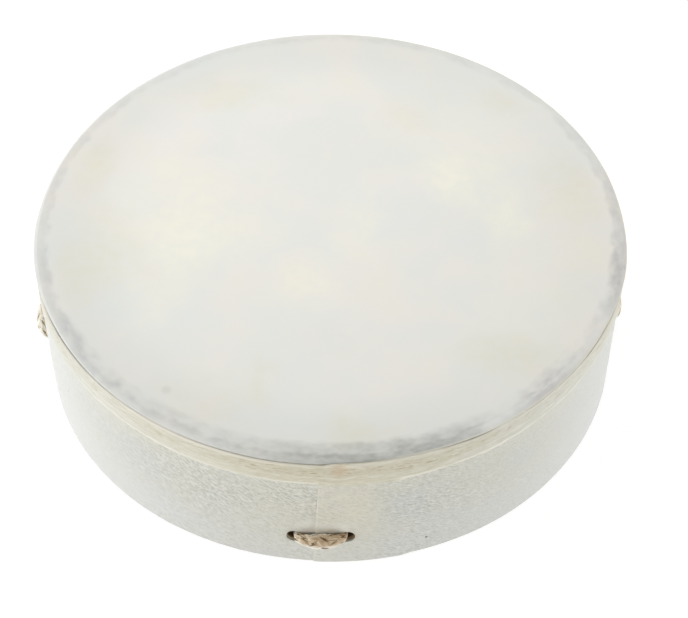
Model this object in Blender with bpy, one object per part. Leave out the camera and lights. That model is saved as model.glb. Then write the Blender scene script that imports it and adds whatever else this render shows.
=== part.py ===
"""Hand drum with one glued head and a rope grip: a shallow round hoop that is
open at the bottom.

Frame: metres, +Z up.  The origin is on the hoop's axis, in the plane of its
open bottom edge.  The front of the drum, with the lap seam, faces -Y.  An
angle is measured from the front, positive towards +X.
"""

import math

import bmesh
import bpy
from mathutils import Matrix, Vector

MM = 0.001

# ---------------------------------------------------------------- dimensions
HEIGHT = 88.0            # open edge to playing face
GAP = 0.3                # glue line between bonded pieces
STEP_DEG = 4.0           # facet angle of every turned piece

CORE_R_IN = 151.8        # bore of the hoop, a nominal 304 mm drum
CORE_R_OUT = 158.1
CORE_TOP = 86.6
CORE_EDGE = 0.9          # rounding of the hoop's edges

WRAP_T = 0.6             # thickness of the outer sheet
WRAP_Z0 = 0.6
WRAP_Z1 = 67.9
LAP_EDGE_TOP = -2.3      # angle of the lap's free edge, at its top
LAP_EDGE_BOTTOM = -3.4   # the edge leans a little
LAP_INNER_END = 12.6     # where the sheet starts, under the lap
LAP_RAMP = (16.0, 13.0)  # where the sheet climbs on to itself

BAND_R_OUT = 160.0       # collar strip above the outer sheet
BAND_Z0 = 68.2
BAND_Z1 = 84.6
BAND_BUTT = -1.2         # angle where the strip's two ends meet
BAND_BUTT_GAP = 0.4

FILM_T = 0.4
FILM_R = 161.5           # trimmed rim of the film, proud of the collar strip

HOLE_Z = 21.5            # rope holes, above the open edge
HOLE_D = 8.8
HOLE_PITCH_DEG = 10.02   # between the two holes of one stitch
DRILL_ROLL = 9.0         # turns a drill's corners clear of the hoop's facets
STITCH_DEG = {"front": -1.9, "right": 92.2, "back": 178.1, "left": -87.5}
FRONT_HOLE_STEP = 1.4    # the front stitch's second hole is drilled higher

ROPE_R = 4.2             # slack rope
ROPE_R_HOLE = 3.1        # pulled thin through a hole
ROPE_R_SPOKE = 4.0       # stretched across the drum
ROPE_BEND = 3.5          # centreline radius round a hole's edge
PAIR_HALF = 4.6          # half the spacing of a pair of strands at the grip
PAIR_Z_FRONT_BACK = 17.1
PAIR_Z_LEFT_RIGHT = 25.9
GRIP_REACH = 24.0        # strands run parallel this far from the axis

LASH_R = 1.75            # cord of the grip's lashing
LASH_TURNS = 3
LASH_FIRST = 11.3        # distance of the first turn from the axis
LASH_PITCH = 3.7

SURF_R = CORE_R_OUT + GAP + WRAP_T       # outside of the single sheet


# ------------------------------------------------------------------- helpers
def polar(radius, degrees, z):
    a = math.radians(degrees)
    return Vector((radius * math.sin(a), -radius * math.cos(a), z)) * MM


def material(name, rgb, roughness, metallic=0.0):
    mat = bpy.data.materials.new(name)
    mat.use_nodes = True
    shader = mat.node_tree.nodes["Principled BSDF"]
    shader.inputs["Base Color"].default_value = (*rgb, 1.0)
    shader.inputs["Roughness"].default_value = roughness
    shader.inputs["Metallic"].default_value = metallic
    mat.diffuse_color = (*rgb, 1.0)
    return mat


def add_mesh_object(name, bm, mat, parent, smooth_deg=35.0):
    bmesh.ops.recalc_face_normals(bm, faces=bm.faces)
    mesh = bpy.data.meshes.new(name)
    bm.to_mesh(mesh)
    bm.free()
    if mat is not None:
        mesh.materials.append(mat)
    mesh.shade_smooth()
    mesh.set_sharp_from_angle(angle=math.radians(smooth_deg))
    obj = bpy.data.objects.new(name, mesh)
    bpy.context.scene.collection.objects.link(obj)
    obj.parent = parent
    return obj


def turned(profile, closed):
    """Spin a profile of (radius, z) about the drum's axis, one full turn."""
    bm = bmesh.new()
    verts = [bm.verts.new(polar(r, 0.0, z)) for r, z in profile]
    edges = [bm.edges.new(pair) for pair in zip(verts, verts[1:])]
    if closed:
        edges.append(bm.edges.new((verts[-1], verts[0])))
    bmesh.ops.spin(bm, geom=verts + edges, cent=(0, 0, 0), axis=(0, 0, 1),
                   dvec=(0, 0, 0), angle=2.0 * math.pi,
                   steps=round(360.0 / STEP_DEG), use_merge=True,
                   use_normal_flip=False, use_duplicate=False)
    bmesh.ops.remove_doubles(bm, verts=bm.verts, dist=1e-6)
    return bm


def strip(stations):
    """A bent strip: each station is (angle at the bottom, angle at the top,
    inner radius, outer radius, bottom z, top z)."""
    bm = bmesh.new()
    loops = []
    for a0, a1, r0, r1, z0, z1 in stations:
        loops.append([bm.verts.new(p) for p in (
            polar(r0, a0, z0), polar(r1, a0, z0),
            polar(r1, a1, z1), polar(r0, a1, z1))])
    for here, there in zip(loops, loops[1:]):
        for i in range(4):
            j = (i + 1) % 4
            bm.faces.new((here[i], here[j], there[j], there[i]))
    bm.faces.new(loops[0])
    bm.faces.new(loops[-1])
    return bm


def hole_angles(side):
    centre = STITCH_DEG[side]
    return centre - HOLE_PITCH_DEG / 2.0, centre + HOLE_PITCH_DEG / 2.0


def hole_height(side, share):
    """Height along a stitch: share is 0 at its first hole, 1 at its second."""
    step = FRONT_HOLE_STEP if side == "front" else 0.0
    return HOLE_Z + step * min(max(share, 0.0), 1.0)


def hole_cutter(parent):
    """One set of eight radial drills."""
    bm = bmesh.new()
    for side in STITCH_DEG:
        for second, deg in enumerate(hole_angles(side)):
            made = bmesh.ops.create_cone(
                bm, cap_ends=True, cap_tris=False, segments=20,
                radius1=HOLE_D / 2.0 * MM, radius2=HOLE_D / 2.0 * MM,
                depth=40.0 * MM)
            direction = polar(1.0, deg, 0.0).normalized()
            turn = Vector((0, 0, 1)).rotation_difference(direction)
            roll = Matrix.Rotation(math.radians(deg + DRILL_ROLL), 4, "Z")
            bmesh.ops.transform(bm, verts=made["verts"],
                                matrix=turn.to_matrix().to_4x4() @ roll)
            z = hole_height(side, second)
            bmesh.ops.translate(bm, verts=made["verts"],
                                vec=polar(156.0, deg, z))
    cutter = add_mesh_object("rope_hole_drill", bm, None, parent)
    cutter.hide_render = True
    cutter.display_type = "WIRE"
    return cutter


def drill(obj, cutter):
    mod = obj.modifiers.new("rope_holes", "BOOLEAN")
    mod.operation = "DIFFERENCE"
    mod.solver = "EXACT"
    mod.object = cutter


def tube(name, points, base_radius, resolution, mat, parent):
    """A round cord along points of (position in metres, radius in mm)."""
    curve = bpy.data.curves.new(name, "CURVE")
    curve.dimensions = "3D"
    curve.bevel_mode = "ROUND"
    curve.bevel_depth = base_radius * MM
    curve.bevel_resolution = resolution
    curve.use_fill_caps = True
    curve.twist_mode = "MINIMUM"
    spline = curve.splines.new("POLY")
    spline.points.add(len(points) - 1)
    for slot, (pos, radius) in zip(spline.points, points):
        slot.co = (pos.x, pos.y, pos.z, 1.0)
        slot.radius = radius / base_radius
    spline.use_smooth = True
    curve.materials.append(mat)
    obj = bpy.data.objects.new(name, curve)
    bpy.context.scene.collection.objects.link(obj)
    obj.parent = parent
    return obj


# ---------------------------------------------------------------- the pieces
def shell_core(mat, parent, cutter):
    c = CORE_EDGE
    profile = [(CORE_R_IN, c), (CORE_R_IN + c, 0.0),
               (CORE_R_OUT - c, 0.0), (CORE_R_OUT, c),
               (CORE_R_OUT, CORE_TOP), (CORE_R_IN + c, CORE_TOP),
               (CORE_R_IN, CORE_TOP - c)]
    obj = add_mesh_object("shell_core", turned(profile, True), mat, parent)
    drill(obj, cutter)
    return obj


def outer_wrap(mat, parent, cutter):
    low_in, low_out = CORE_R_OUT + GAP, SURF_R
    lift = WRAP_T + GAP
    stations = [(LAP_INNER_END, LAP_INNER_END, low_in, low_out,
                 WRAP_Z0, WRAP_Z1)]
    deg = math.floor(LAP_INNER_END / STEP_DEG) * STEP_DEG
    last_low = LAP_RAMP[0] - 360.0
    while deg >= last_low - 1e-6:
        stations.append((deg, deg, low_in, low_out, WRAP_Z0, WRAP_Z1))
        deg -= STEP_DEG
    for part in (1.0 / 3.0, 2.0 / 3.0, 1.0):
        rise = lift * (3.0 * part ** 2 - 2.0 * part ** 3)
        a = last_low + part * (LAP_RAMP[1] - LAP_RAMP[0])
        stations.append((a, a, low_in + rise, low_out + rise,
                         WRAP_Z0, WRAP_Z1))
    deg = math.floor(LAP_RAMP[1] / STEP_DEG) * STEP_DEG
    while deg > LAP_EDGE_TOP + 1.0:
        a = deg - 360.0
        stations.append((a, a, low_in + lift, low_out + lift,
                         WRAP_Z0, WRAP_Z1))
        deg -= STEP_DEG
    stations.append((LAP_EDGE_BOTTOM - 360.0, LAP_EDGE_TOP - 360.0,
                     low_in + lift, low_out + lift, WRAP_Z0, WRAP_Z1))
    obj = add_mesh_object("outer_wrap", strip(stations), mat, parent)
    drill(obj, cutter)
    return obj


def collar_band(mat, parent):
    half = math.degrees(BAND_BUTT_GAP / 2.0 / BAND_R_OUT)
    angles = [BAND_BUTT + half]
    deg = math.ceil(angles[0] / STEP_DEG) * STEP_DEG
    while deg < BAND_BUTT + 360.0 - half - 0.5:
        angles.append(deg)
        deg += STEP_DEG
    angles.append(BAND_BUTT + 360.0 - half)
    stations = [(a, a, CORE_R_OUT + GAP, BAND_R_OUT, BAND_Z0, BAND_Z1)
                for a in angles]
    return add_mesh_object("collar_band", strip(stations), mat, parent)


def squeeze_out(degrees):
    """How far the glue has crept inwards from the hoop's bore, in mm."""
    a = math.radians(degrees)
    w = (2.3 + 1.0 * math.cos(a) + 2.4 * math.cos(2.0 * a)
         + 0.55 * math.sin(7.0 * a + 1.0) + 0.4 * math.sin(13.0 * a + 2.0))
    return max(w, 0.6)


def head_glue(mat, parent):
    bottom, top = CORE_TOP + GAP, HEIGHT - FILM_T - GAP
    edge = CORE_R_IN - GAP
    # fillet outline as (share of the creep, share of the depth)
    fillet = [(1.0, 0.0), (0.7, 0.36), (0.3, 0.74), (0.0, 1.0)]
    profile = [(CORE_R_OUT - 0.1, bottom), (CORE_R_OUT - 0.1, top)]
    profile += [(edge - share, top - 1.0 - depth) for share, depth in fillet]
    profile.append((edge, bottom))
    bm = turned(profile, True)
    # every ring of the fillet is moved to the local creep and depth
    for vert in bm.verts:
        r = math.hypot(vert.co.x, vert.co.y) / MM
        z = vert.co.z / MM
        for share, depth in fillet:
            if (abs(r - (edge - share)) < 1e-3
                    and abs(z - (top - 1.0 - depth)) < 1e-3):
                deg = math.degrees(math.atan2(vert.co.x, -vert.co.y))
                w = squeeze_out(deg)
                vert.co = polar(edge - share * w, deg,
                                top - depth * (1.0 + 0.55 * w))
                break
    return add_mesh_object("head_glue", bm, mat, parent)


def head_film(mat, parent):
    top, low = HEIGHT, HEIGHT - FILM_T
    profile = [(0.0, top), (FILM_R - 2.2, top), (FILM_R - 1.0, top - 0.07),
               (FILM_R - 0.3, top - 0.28), (FILM_R, top - 0.65),
               (FILM_R - 0.05, top - 1.0), (FILM_R - 0.5, top - 0.85),
               (FILM_R - 1.2, top - 0.55), (FILM_R - 2.3, low), (0.0, low)]
    return add_mesh_object("head_film", turned(profile, False), mat, parent)


def stitch(side, rise):
    """Rope points through one pair of holes, from inside to inside, in the
    direction of growing angle."""
    centre = STITCH_DEG[side]
    hole_t = math.radians(HOLE_PITCH_DEG / 2.0) * SURF_R
    corner_t = hole_t - HOLE_D / 2.0
    corner_r = SURF_R + rise
    half = []
    for rho in (146.0, 150.5, 155.0):
        half.append((-(corner_t + ROPE_BEND), rho, ROPE_R_HOLE))
    for k in range(7):
        a = math.radians(180.0 - 15.0 * k)
        half.append((-corner_t + ROPE_BEND * math.cos(a),
                     corner_r + ROPE_BEND * math.sin(a),
                     ROPE_R_HOLE + 0.1 * max(0, k - 3) / 3.0))
    half.append((-corner_t * 0.72, corner_r + 4.05, 3.7))
    half.append((-corner_t * 0.38, corner_r + 4.4, 4.05))
    whole = half + [(0.0, corner_r + 4.55, ROPE_R)]
    whole += [(-t, rho, rad) for t, rho, rad in reversed(half)]
    points = []
    for t, rho, rad in whole:
        deg = centre + math.degrees(t / SURF_R)
        share = (t / corner_t + 1.0) / 2.0
        points.append((polar(rho, deg, hole_height(side, share)), rad))
    return points


def rope_loop(name, start, end, stitch_a, mids, stitch_b, mat, parent):
    """A rope from one end at the grip, through two stitches, to its other
    end beside the first."""
    points = [(start, ROPE_R_SPOKE)]

    def spoke(p_from, p_to, count=3):
        for i in range(1, count + 1):
            f = i / (count + 1.0)
            points.append((p_from.lerp(p_to, f), ROPE_R_SPOKE))

    points.append((mids[0], ROPE_R_SPOKE))
    spoke(mids[0], stitch_a[0][0])
    points.extend(stitch_a)
    spoke(stitch_a[-1][0], mids[1])
    points.append((mids[1], ROPE_R_SPOKE))
    points.append((mids[1].lerp(mids[2], 0.5), ROPE_R_SPOKE))
    points.append((mids[2], ROPE_R_SPOKE))
    spoke(mids[2], stitch_b[0][0])
    points.extend(stitch_b)
    spoke(stitch_b[-1][0], mids[3])
    points.append((mids[3], ROPE_R_SPOKE))
    points.append((end, ROPE_R_SPOKE))
    return tube(name, points, ROPE_R, 3, mat, parent)


def rope_front_back(mat, parent):
    z, h, g = PAIR_Z_FRONT_BACK, PAIR_HALF, GRIP_REACH
    lift = WRAP_T + GAP           # the front stitch lies on the lap
    at = lambda x, y: Vector((x, y, z)) * MM
    return rope_loop(
        "rope_front_back", at(-h, 14.7), at(-h, 15.3),
        stitch("front", lift),
        [at(-h, -g), at(h, -g), at(h, g), at(-h, g)],
        stitch("back", lift), mat, parent)


def rope_left_right(mat, parent):
    z, h, g = PAIR_Z_LEFT_RIGHT, PAIR_HALF, GRIP_REACH
    at = lambda x, y: Vector((x, y, z)) * MM
    return rope_loop(
        "rope_left_right", at(4.3, h), at(4.9, h),
        stitch("left", 0.0),
        [at(-g, h), at(-g, -h), at(g, -h), at(g, h)],
        stitch("right", 0.0), mat, parent)


def smooth_path(knots):
    """Points on a smooth curve through knots of (position, points to make
    before the next knot)."""
    points = [Vector(pos) for pos, _ in knots]
    out = []
    for i in range(len(points) - 1):
        p1, p2 = points[i], points[i + 1]
        p0 = points[i - 1] if i else p1 * 2.0 - p2
        p3 = points[i + 2] if i + 2 < len(points) else p2 * 2.0 - p1
        for k in range(knots[i][1]):
            t = k / knots[i][1]
            out.append(0.5 * ((2.0 * p1) + (p2 - p0) * t
                              + (2.0 * p0 - 5.0 * p1 + 4.0 * p2 - p3) * t * t
                              + (3.0 * p1 - p0 - 3.0 * p2 + p3) * t ** 3))
    out.append(points[-1])
    return out


def grip_lashing(mat, parent):
    """A square lashing: over the left-right pair, under the front-back pair,
    each turn outside the one before."""
    ring = ROPE_R_SPOKE + LASH_R + 0.6        # cord's centre from a strand's
    q = ring * math.sqrt(0.5)
    mid = (PAIR_Z_LEFT_RIGHT + PAIR_Z_FRONT_BACK) / 2.0
    # across a pair of strands: (place across it, height off its centre)
    across = [(-PAIR_HALF - ring, 0.0, 2), (-PAIR_HALF - q, q, 2),
              (-PAIR_HALF, ring, 1), (PAIR_HALF, ring, 2),
              (PAIR_HALF + q, q, 2), (PAIR_HALF + ring, 0.0, 2)]
    knots = []
    for turn in range(LASH_TURNS):
        s = LASH_FIRST + LASH_PITCH * turn
        c = LASH_FIRST + 0.77 * LASH_PITCH * turn
        for quarter in range(4):
            # each turn drifts outwards along its last quarter
            last = quarter == 3 and turn < LASH_TURNS - 1
            for i, (u, v, n) in enumerate(across):
                out = s + (LASH_PITCH * 0.12 * i if last else 0.0)
                if quarter == 0:
                    pos = (out, u, PAIR_Z_LEFT_RIGHT + v)
                elif quarter == 1:
                    pos = (-u, out, PAIR_Z_FRONT_BACK - v)
                elif quarter == 2:
                    pos = (-out, -u, PAIR_Z_LEFT_RIGHT + v)
                else:
                    pos = (u, -out, PAIR_Z_FRONT_BACK - v)
                knots.append((pos, n))
            e = c + (LASH_PITCH * 0.6 if last else 0.0)
            sx = 1.0 if quarter in (0, 3) else -1.0
            sy = 1.0 if quarter in (0, 1) else -1.0
            knots.append(((sx * e, sy * e, mid), 2))
    path = [p * MM for p in smooth_path(knots)]
    return tube("grip_lashing", [(p, LASH_R) for p in path], LASH_R, 2,
                mat, parent)


def main():
    for obj in list(bpy.data.objects):
        bpy.data.objects.remove(obj, do_unlink=True)

    root = bpy.data.objects.new("drum", None)
    bpy.context.scene.collection.objects.link(root)

    board = material("fibre_board", (0.56, 0.47, 0.34), 0.75)
    sheet = material("grained_sheet", (0.69, 0.68, 0.62), 0.7)
    strip_mat = material("fibre_strip", (0.62, 0.56, 0.42), 0.8)
    film = material("head_film", (0.80, 0.79, 0.74), 0.45)
    glue = material("set_glue", (0.42, 0.42, 0.40), 0.5)
    rope_a = material("rope_a", (0.52, 0.41, 0.28), 0.9)
    rope_b = material("rope_b", (0.52, 0.41, 0.28), 0.9)
    cord = material("lashing_cord", (0.44, 0.34, 0.22), 0.9)

    cutter = hole_cutter(root)
    shell_core(board, root, cutter)
    outer_wrap(sheet, root, cutter)
    collar_band(strip_mat, root)
    head_glue(glue, root)
    head_film(film, root)
    rope_front_back(rope_a, root)
    rope_left_right(rope_b, root)
    grip_lashing(cord, root)


main()
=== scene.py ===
"""Looks of the hand drum: fine meshes and procedural materials around the
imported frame.  Metres, +Z up; the front of the drum faces -Y, and an angle is
measured from the front, positive towards +X.  Lengths below are in mm until
they are put into a mesh."""

import math

import bpy
import numpy as np
from mathutils import Matrix, Vector

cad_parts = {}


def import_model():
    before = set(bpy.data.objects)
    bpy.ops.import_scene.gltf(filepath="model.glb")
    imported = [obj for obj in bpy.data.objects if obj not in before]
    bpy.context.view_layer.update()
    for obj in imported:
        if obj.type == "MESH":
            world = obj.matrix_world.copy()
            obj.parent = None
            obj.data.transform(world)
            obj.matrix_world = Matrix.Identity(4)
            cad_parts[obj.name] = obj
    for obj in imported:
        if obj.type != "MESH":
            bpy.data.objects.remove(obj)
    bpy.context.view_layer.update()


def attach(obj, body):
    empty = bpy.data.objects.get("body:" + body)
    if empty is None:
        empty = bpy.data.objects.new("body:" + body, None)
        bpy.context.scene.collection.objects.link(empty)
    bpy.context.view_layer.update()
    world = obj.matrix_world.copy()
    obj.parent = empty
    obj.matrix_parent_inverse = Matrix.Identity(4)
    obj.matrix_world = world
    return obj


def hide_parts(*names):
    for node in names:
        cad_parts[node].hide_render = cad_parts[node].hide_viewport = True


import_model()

MM = 0.001

# ------------------------------------------------------------ shared measures
HEIGHT = 88.0
CORE_R_IN, CORE_R_OUT, CORE_TOP = 151.8, 158.1, 86.6
GAP = 0.3
WRAP_T, WRAP_Z0, WRAP_Z1 = 0.6, 0.6, 67.9
SURF_R = CORE_R_OUT + GAP + WRAP_T
LAP_TOP, LAP_BOTTOM, LAP_INNER = -2.3, -3.4, 12.6
RAMP_A, RAMP_B = 16.0, 13.0
BAND_R, BAND_Z0, BAND_Z1, BAND_BUTT = 160.0, 68.2, 84.6, -1.2
FILM_R, FILM_T = 161.5, 0.4
HOLE_Z, HOLE_D, HOLE_PITCH = 21.5, 8.8, 10.02
STITCHES = {"front": -1.9, "right": 92.2, "back": 178.1, "left": -87.5}
HOLE_STEP = 1.4                    # the second front hole is higher
HOLES = [(c + s * HOLE_PITCH / 2.0, HOLE_Z + (
    HOLE_STEP if (side, s) == ("front", 1) else 0.0))
    for side, c in STITCHES.items() for s in (-1, 1)]


# --------------------------------------------------------------- value noise
def _hash(ix, iy, seed):
    n = (ix * 374761393 + iy * 668265263 + seed * 974634777) & 0xFFFFFFFF
    n = ((n ^ (n >> 13)) * 1274126177) & 0xFFFFFFFF
    n = ((n ^ (n >> 15)) * 2246822519) & 0xFFFFFFFF
    return ((n ^ (n >> 16)) & 0xFFFF) / 65535.0


def noise2(x, y, seed=0, wrap=0):
    """Smooth noise from -1 to 1.  With wrap, x repeats after that many cells."""
    x, y = np.broadcast_arrays(np.asarray(x, float), np.asarray(y, float))
    ix, iy = np.floor(x).astype(np.int64), np.floor(y).astype(np.int64)
    fx, fy = x - ix, y - iy
    fx = fx * fx * fx * (fx * (fx * 6 - 15) + 10)
    fy = fy * fy * fy * (fy * (fy * 6 - 15) + 10)
    jx = ix + 1
    if wrap:
        ix, jx = ix % wrap, jx % wrap
    a = _hash(ix, iy, seed) * (1 - fx) + _hash(jx, iy, seed) * fx
    b = _hash(ix, iy + 1, seed) * (1 - fx) + _hash(jx, iy + 1, seed) * fx
    return (a * (1 - fy) + b * fy) * 2.0 - 1.0


def fbm2(x, y, seed=0, octaves=3, wrap=0):
    total, amp, norm = 0.0, 1.0, 0.0
    for k in range(octaves):
        f = 2 ** k
        total = total + amp * noise2(np.asarray(x) * f, np.asarray(y) * f,
                                     seed + 17 * k, wrap * f)
        norm += amp
        amp *= 0.5
    return total / norm


def smooth(lo, hi, x):
    t = np.clip((np.asarray(x, float) - lo) / (hi - lo), 0.0, 1.0)
    return t * t * (3.0 - 2.0 * t)


# -------------------------------------------------------------- mesh helpers
def polar(r, deg, z):
    a = np.radians(deg)
    r, a, z = np.broadcast_arrays(r, a, z)
    return np.stack([r * np.sin(a), -r * np.cos(a), z], -1)


def make_object(name, verts_mm, faces, uv=None, slots=None, smooth_deg=40.0):
    """faces: (n, 4) or (n, 3) index arrays, or a list of such arrays.
    uv: one (n, corners, 2) array for each of them.  slots: material index."""
    if not isinstance(faces, list):
        faces, uv = [faces], (None if uv is None else [uv])
        slots = None if slots is None else [slots]
    mesh = bpy.data.meshes.new(name)
    verts = np.asarray(verts_mm, np.float32) * MM
    mesh.vertices.add(len(verts))
    mesh.vertices.foreach_set("co", verts.ravel())
    corner = np.concatenate([f.ravel() for f in faces]).astype(np.int32)
    sizes = np.concatenate([np.full(len(f), f.shape[1], np.int32)
                            for f in faces])
    starts = np.concatenate([[0], np.cumsum(sizes)[:-1]]).astype(np.int32)
    mesh.loops.add(len(corner))
    mesh.loops.foreach_set("vertex_index", corner)
    mesh.polygons.add(len(sizes))
    mesh.polygons.foreach_set("loop_start", starts)
    if slots is not None:
        mesh.polygons.foreach_set("material_index", np.concatenate(
            [np.full(len(f), s, np.int32) for f, s in zip(faces, slots)]))
    if uv is not None:
        layer = mesh.uv_layers.new(name="sheet")
        layer.data.foreach_set("uv", np.concatenate(
            [u.reshape(-1, 2) for u in uv]).astype(np.float32).ravel())
    mesh.update(calc_edges=True)
    mesh.validate()
    mesh.shade_smooth()
    mesh.set_sharp_from_angle(angle=math.radians(smooth_deg))
    obj = bpy.data.objects.new(name, mesh)
    bpy.context.scene.collection.objects.link(obj)
    return obj


def grid_faces(index, close=False, flip=False):
    """Quads over a 2-D array of vertex numbers; close joins the last row of
    the first axis to its first."""
    a = index if not close else np.concatenate([index, index[:1]], 0)
    q = np.stack([a[:-1, :-1], a[1:, :-1], a[1:, 1:], a[:-1, 1:]],
                 -1).reshape(-1, 4)
    return q[:, ::-1] if flip else q


def strip_faces(a, b, close=False, flip=False):
    """Quads between two equal rows of vertex numbers."""
    a, b = np.asarray(a), np.asarray(b)
    if close:
        a, b = np.append(a, a[0]), np.append(b, b[0])
    q = np.stack([a[:-1], a[1:], b[1:], b[:-1]], -1)
    return q[:, ::-1] if flip else q


class Skin:
    """A sheet over a (u, z) grid with round holes whose rims are exact
    rings.  It holds places in the sheet; the caller bends it into space."""

    def __init__(self, u, z, holes, radius, close=False, rings=4):
        nu, nz = len(u), len(z)
        self.u = list(np.repeat(u, nz))
        self.z = list(np.tile(z, nu))
        self.index = np.arange(nu * nz).reshape(nu, nz)
        self.close, self.rims = close, []
        quads = grid_faces(self.index, close)
        n_cells_u = nu if close else nu - 1
        keep = np.ones((n_cells_u, nz - 1), bool)
        extra = []
        period = (u[1] - u[0]) * nu
        for hu, hz in holes:
            du = u - hu
            if close:
                du = (du + period / 2) % period - period / 2
            margin = radius + 1.6
            inside = np.abs(du) <= margin
            near = np.nonzero(inside)[0]
            if close and near[0] == 0 and near[-1] == nu - 1:
                cut = np.nonzero(np.diff(near) > 1)[0][0] + 1
                near = np.concatenate([near[cut:], near[:cut]])
            i0, i1 = near[0] - 1, near[-1] + 1
            k = np.nonzero(np.abs(z - hz) <= margin)[0]
            k0, k1 = max(k[0] - 1, 0), min(k[-1] + 1, nz - 1)
            cols = np.arange(i0, i1 + 1) % nu if close else np.arange(i0, i1 + 1)
            for c in cols[:-1]:
                keep[c, k0:k1] = False
            loop = ([(c, k0) for c in cols[:-1]]
                    + [(cols[-1], k) for k in range(k0, k1)]
                    + [(c, k1) for c in cols[:0:-1]]
                    + [(cols[0], k) for k in range(k1, k0, -1)])
            outer = np.array([self.index[c, k] for c, k in loop])
            off = np.array([(du[c], z[k] - hz) for c, k in loop])
            ang = np.arctan2(off[:, 1], off[:, 0])
            circle = np.stack([np.cos(ang), np.sin(ang)], -1) * radius
            rows = [outer]
            for step in range(1, rings + 1):
                t = step / rings
                t = 1.0 - (1.0 - t) ** 1.5
                place = off * (1 - t) + circle * t
                first = len(self.u)
                self.u.extend(hu + place[:, 0])
                self.z.extend(hz + place[:, 1])
                rows.append(np.arange(first, first + len(place)))
            for a, b in zip(rows, rows[1:]):
                extra.append(strip_faces(a, b, close=True))
            self.rims.append(rows[-1])
        self.quads = np.concatenate([quads[keep.ravel()]] + extra)
        self.u, self.z = np.array(self.u), np.array(self.z)

    def ends(self):
        """The vertex rows of the bottom, top, first and last edges."""
        i = self.index
        return i[:, 0], i[:, -1], i[0], i[-1]


# ------------------------------------------------------------ shader helpers
def srgb(r, g, b):
    def one(v):
        v /= 255.0
        return v / 12.92 if v <= 0.04045 else ((v + 0.055) / 1.055) ** 2.4
    return (one(r), one(g), one(b), 1.0)


class Shade:
    """A small builder of node trees."""

    def __init__(self, name):
        self.mat = bpy.data.materials.new(name)
        self.mat.use_nodes = True
        self.tree = self.mat.node_tree
        self.bsdf = self.tree.nodes["Principled BSDF"]

    def add(self, kind, **props):
        node = self.tree.nodes.new(kind)
        for key, value in props.items():
            setattr(node, key, value)
        return node

    def put(self, socket, value):
        if isinstance(value, bpy.types.NodeSocket):
            self.tree.links.new(value, socket)
        elif value is not None:
            socket.default_value = value
        return socket

    def coords(self, which="Object"):
        return self.add("ShaderNodeTexCoord").outputs[which]

    def uv(self):
        return self.add("ShaderNodeUVMap", uv_map="sheet").outputs["UV"]

    def mapping(self, vec, scale=(1, 1, 1), rot=(0, 0, 0), loc=(0, 0, 0)):
        n = self.add("ShaderNodeMapping")
        self.put(n.inputs["Vector"], vec)
        n.inputs["Scale"].default_value = scale
        n.inputs["Rotation"].default_value = rot
        n.inputs["Location"].default_value = loc
        return n.outputs["Vector"]

    def noise(self, vec, scale, detail=2.0, rough=0.5, distort=0.0,
              kind="FBM", color=False):
        n = self.add("ShaderNodeTexNoise", noise_type=kind)
        self.put(n.inputs["Vector"], vec)
        n.inputs["Scale"].default_value = scale
        n.inputs["Detail"].default_value = detail
        n.inputs["Roughness"].default_value = rough
        n.inputs["Distortion"].default_value = distort
        return n.outputs["Color" if color else "Fac"]

    def voronoi(self, vec, scale, feature="F1", random=1.0, out="Distance"):
        n = self.add("ShaderNodeTexVoronoi", feature=feature)
        self.put(n.inputs["Vector"], vec)
        n.inputs["Scale"].default_value = scale
        n.inputs["Randomness"].default_value = random
        return n.outputs[out]

    def math(self, op, a, b=None, c=None, clamp=False):
        n = self.add("ShaderNodeMath", operation=op, use_clamp=clamp)
        for socket, value in zip(n.inputs, (a, b, c)):
            self.put(socket, value)
        return n.outputs[0]

    def vmath(self, op, a, b=None, out=0):
        n = self.add("ShaderNodeVectorMath", operation=op)
        self.put(n.inputs[0], a)
        if b is not None:
            self.put(n.inputs[1], b)
        return n.outputs[out]

    def split(self, vec):
        n = self.add("ShaderNodeSeparateXYZ")
        self.put(n.inputs[0], vec)
        return n.outputs

    def join(self, x, y, z=0.0):
        n = self.add("ShaderNodeCombineXYZ")
        for socket, value in zip(n.inputs, (x, y, z)):
            self.put(socket, value)
        return n.outputs[0]

    def step(self, value, lo, hi, to_lo=0.0, to_hi=1.0):
        """Smooth step of value from lo to hi."""
        n = self.add("ShaderNodeMapRange", interpolation_type="SMOOTHSTEP")
        for key, v in zip(("Value", "From Min", "From Max", "To Min",
                           "To Max"), (value, lo, hi, to_lo, to_hi)):
            self.put(n.inputs[key], v)
        return n.outputs["Result"]

    def ramp(self, fac, stops, mode="LINEAR"):
        n = self.add("ShaderNodeValToRGB")
        n.color_ramp.interpolation = mode
        items = n.color_ramp.elements
        while len(items) < len(stops):
            items.new(0.5)
        for item, (pos, col) in zip(items, stops):
            item.position, item.color = pos, col
        self.put(n.inputs["Fac"], fac)
        return n.outputs["Color"]

    def mix(self, fac, a, b, blend="MIX"):
        n = self.add("ShaderNodeMix", data_type="RGBA", blend_type=blend)
        self.put(n.inputs["Factor"], fac)
        self.put(n.inputs[6], a)
        self.put(n.inputs[7], b)
        return n.outputs[2]

    def bump(self, height, strength, distance, normal=None):
        n = self.add("ShaderNodeBump")
        n.inputs["Strength"].default_value = strength
        n.inputs["Distance"].default_value = distance
        self.put(n.inputs["Height"], height)
        if normal is not None:
            self.put(n.inputs["Normal"], normal)
        return n.outputs["Normal"]

    def finish(self, color, roughness, normal=None, **constants):
        self.put(self.bsdf.inputs["Base Color"], color)
        self.put(self.bsdf.inputs["Roughness"], roughness)
        if normal is not None:
            self.put(self.bsdf.inputs["Normal"], normal)
        for key, value in constants.items():
            self.bsdf.inputs[key.replace("_", " ")].default_value = value
        return self.mat


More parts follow.
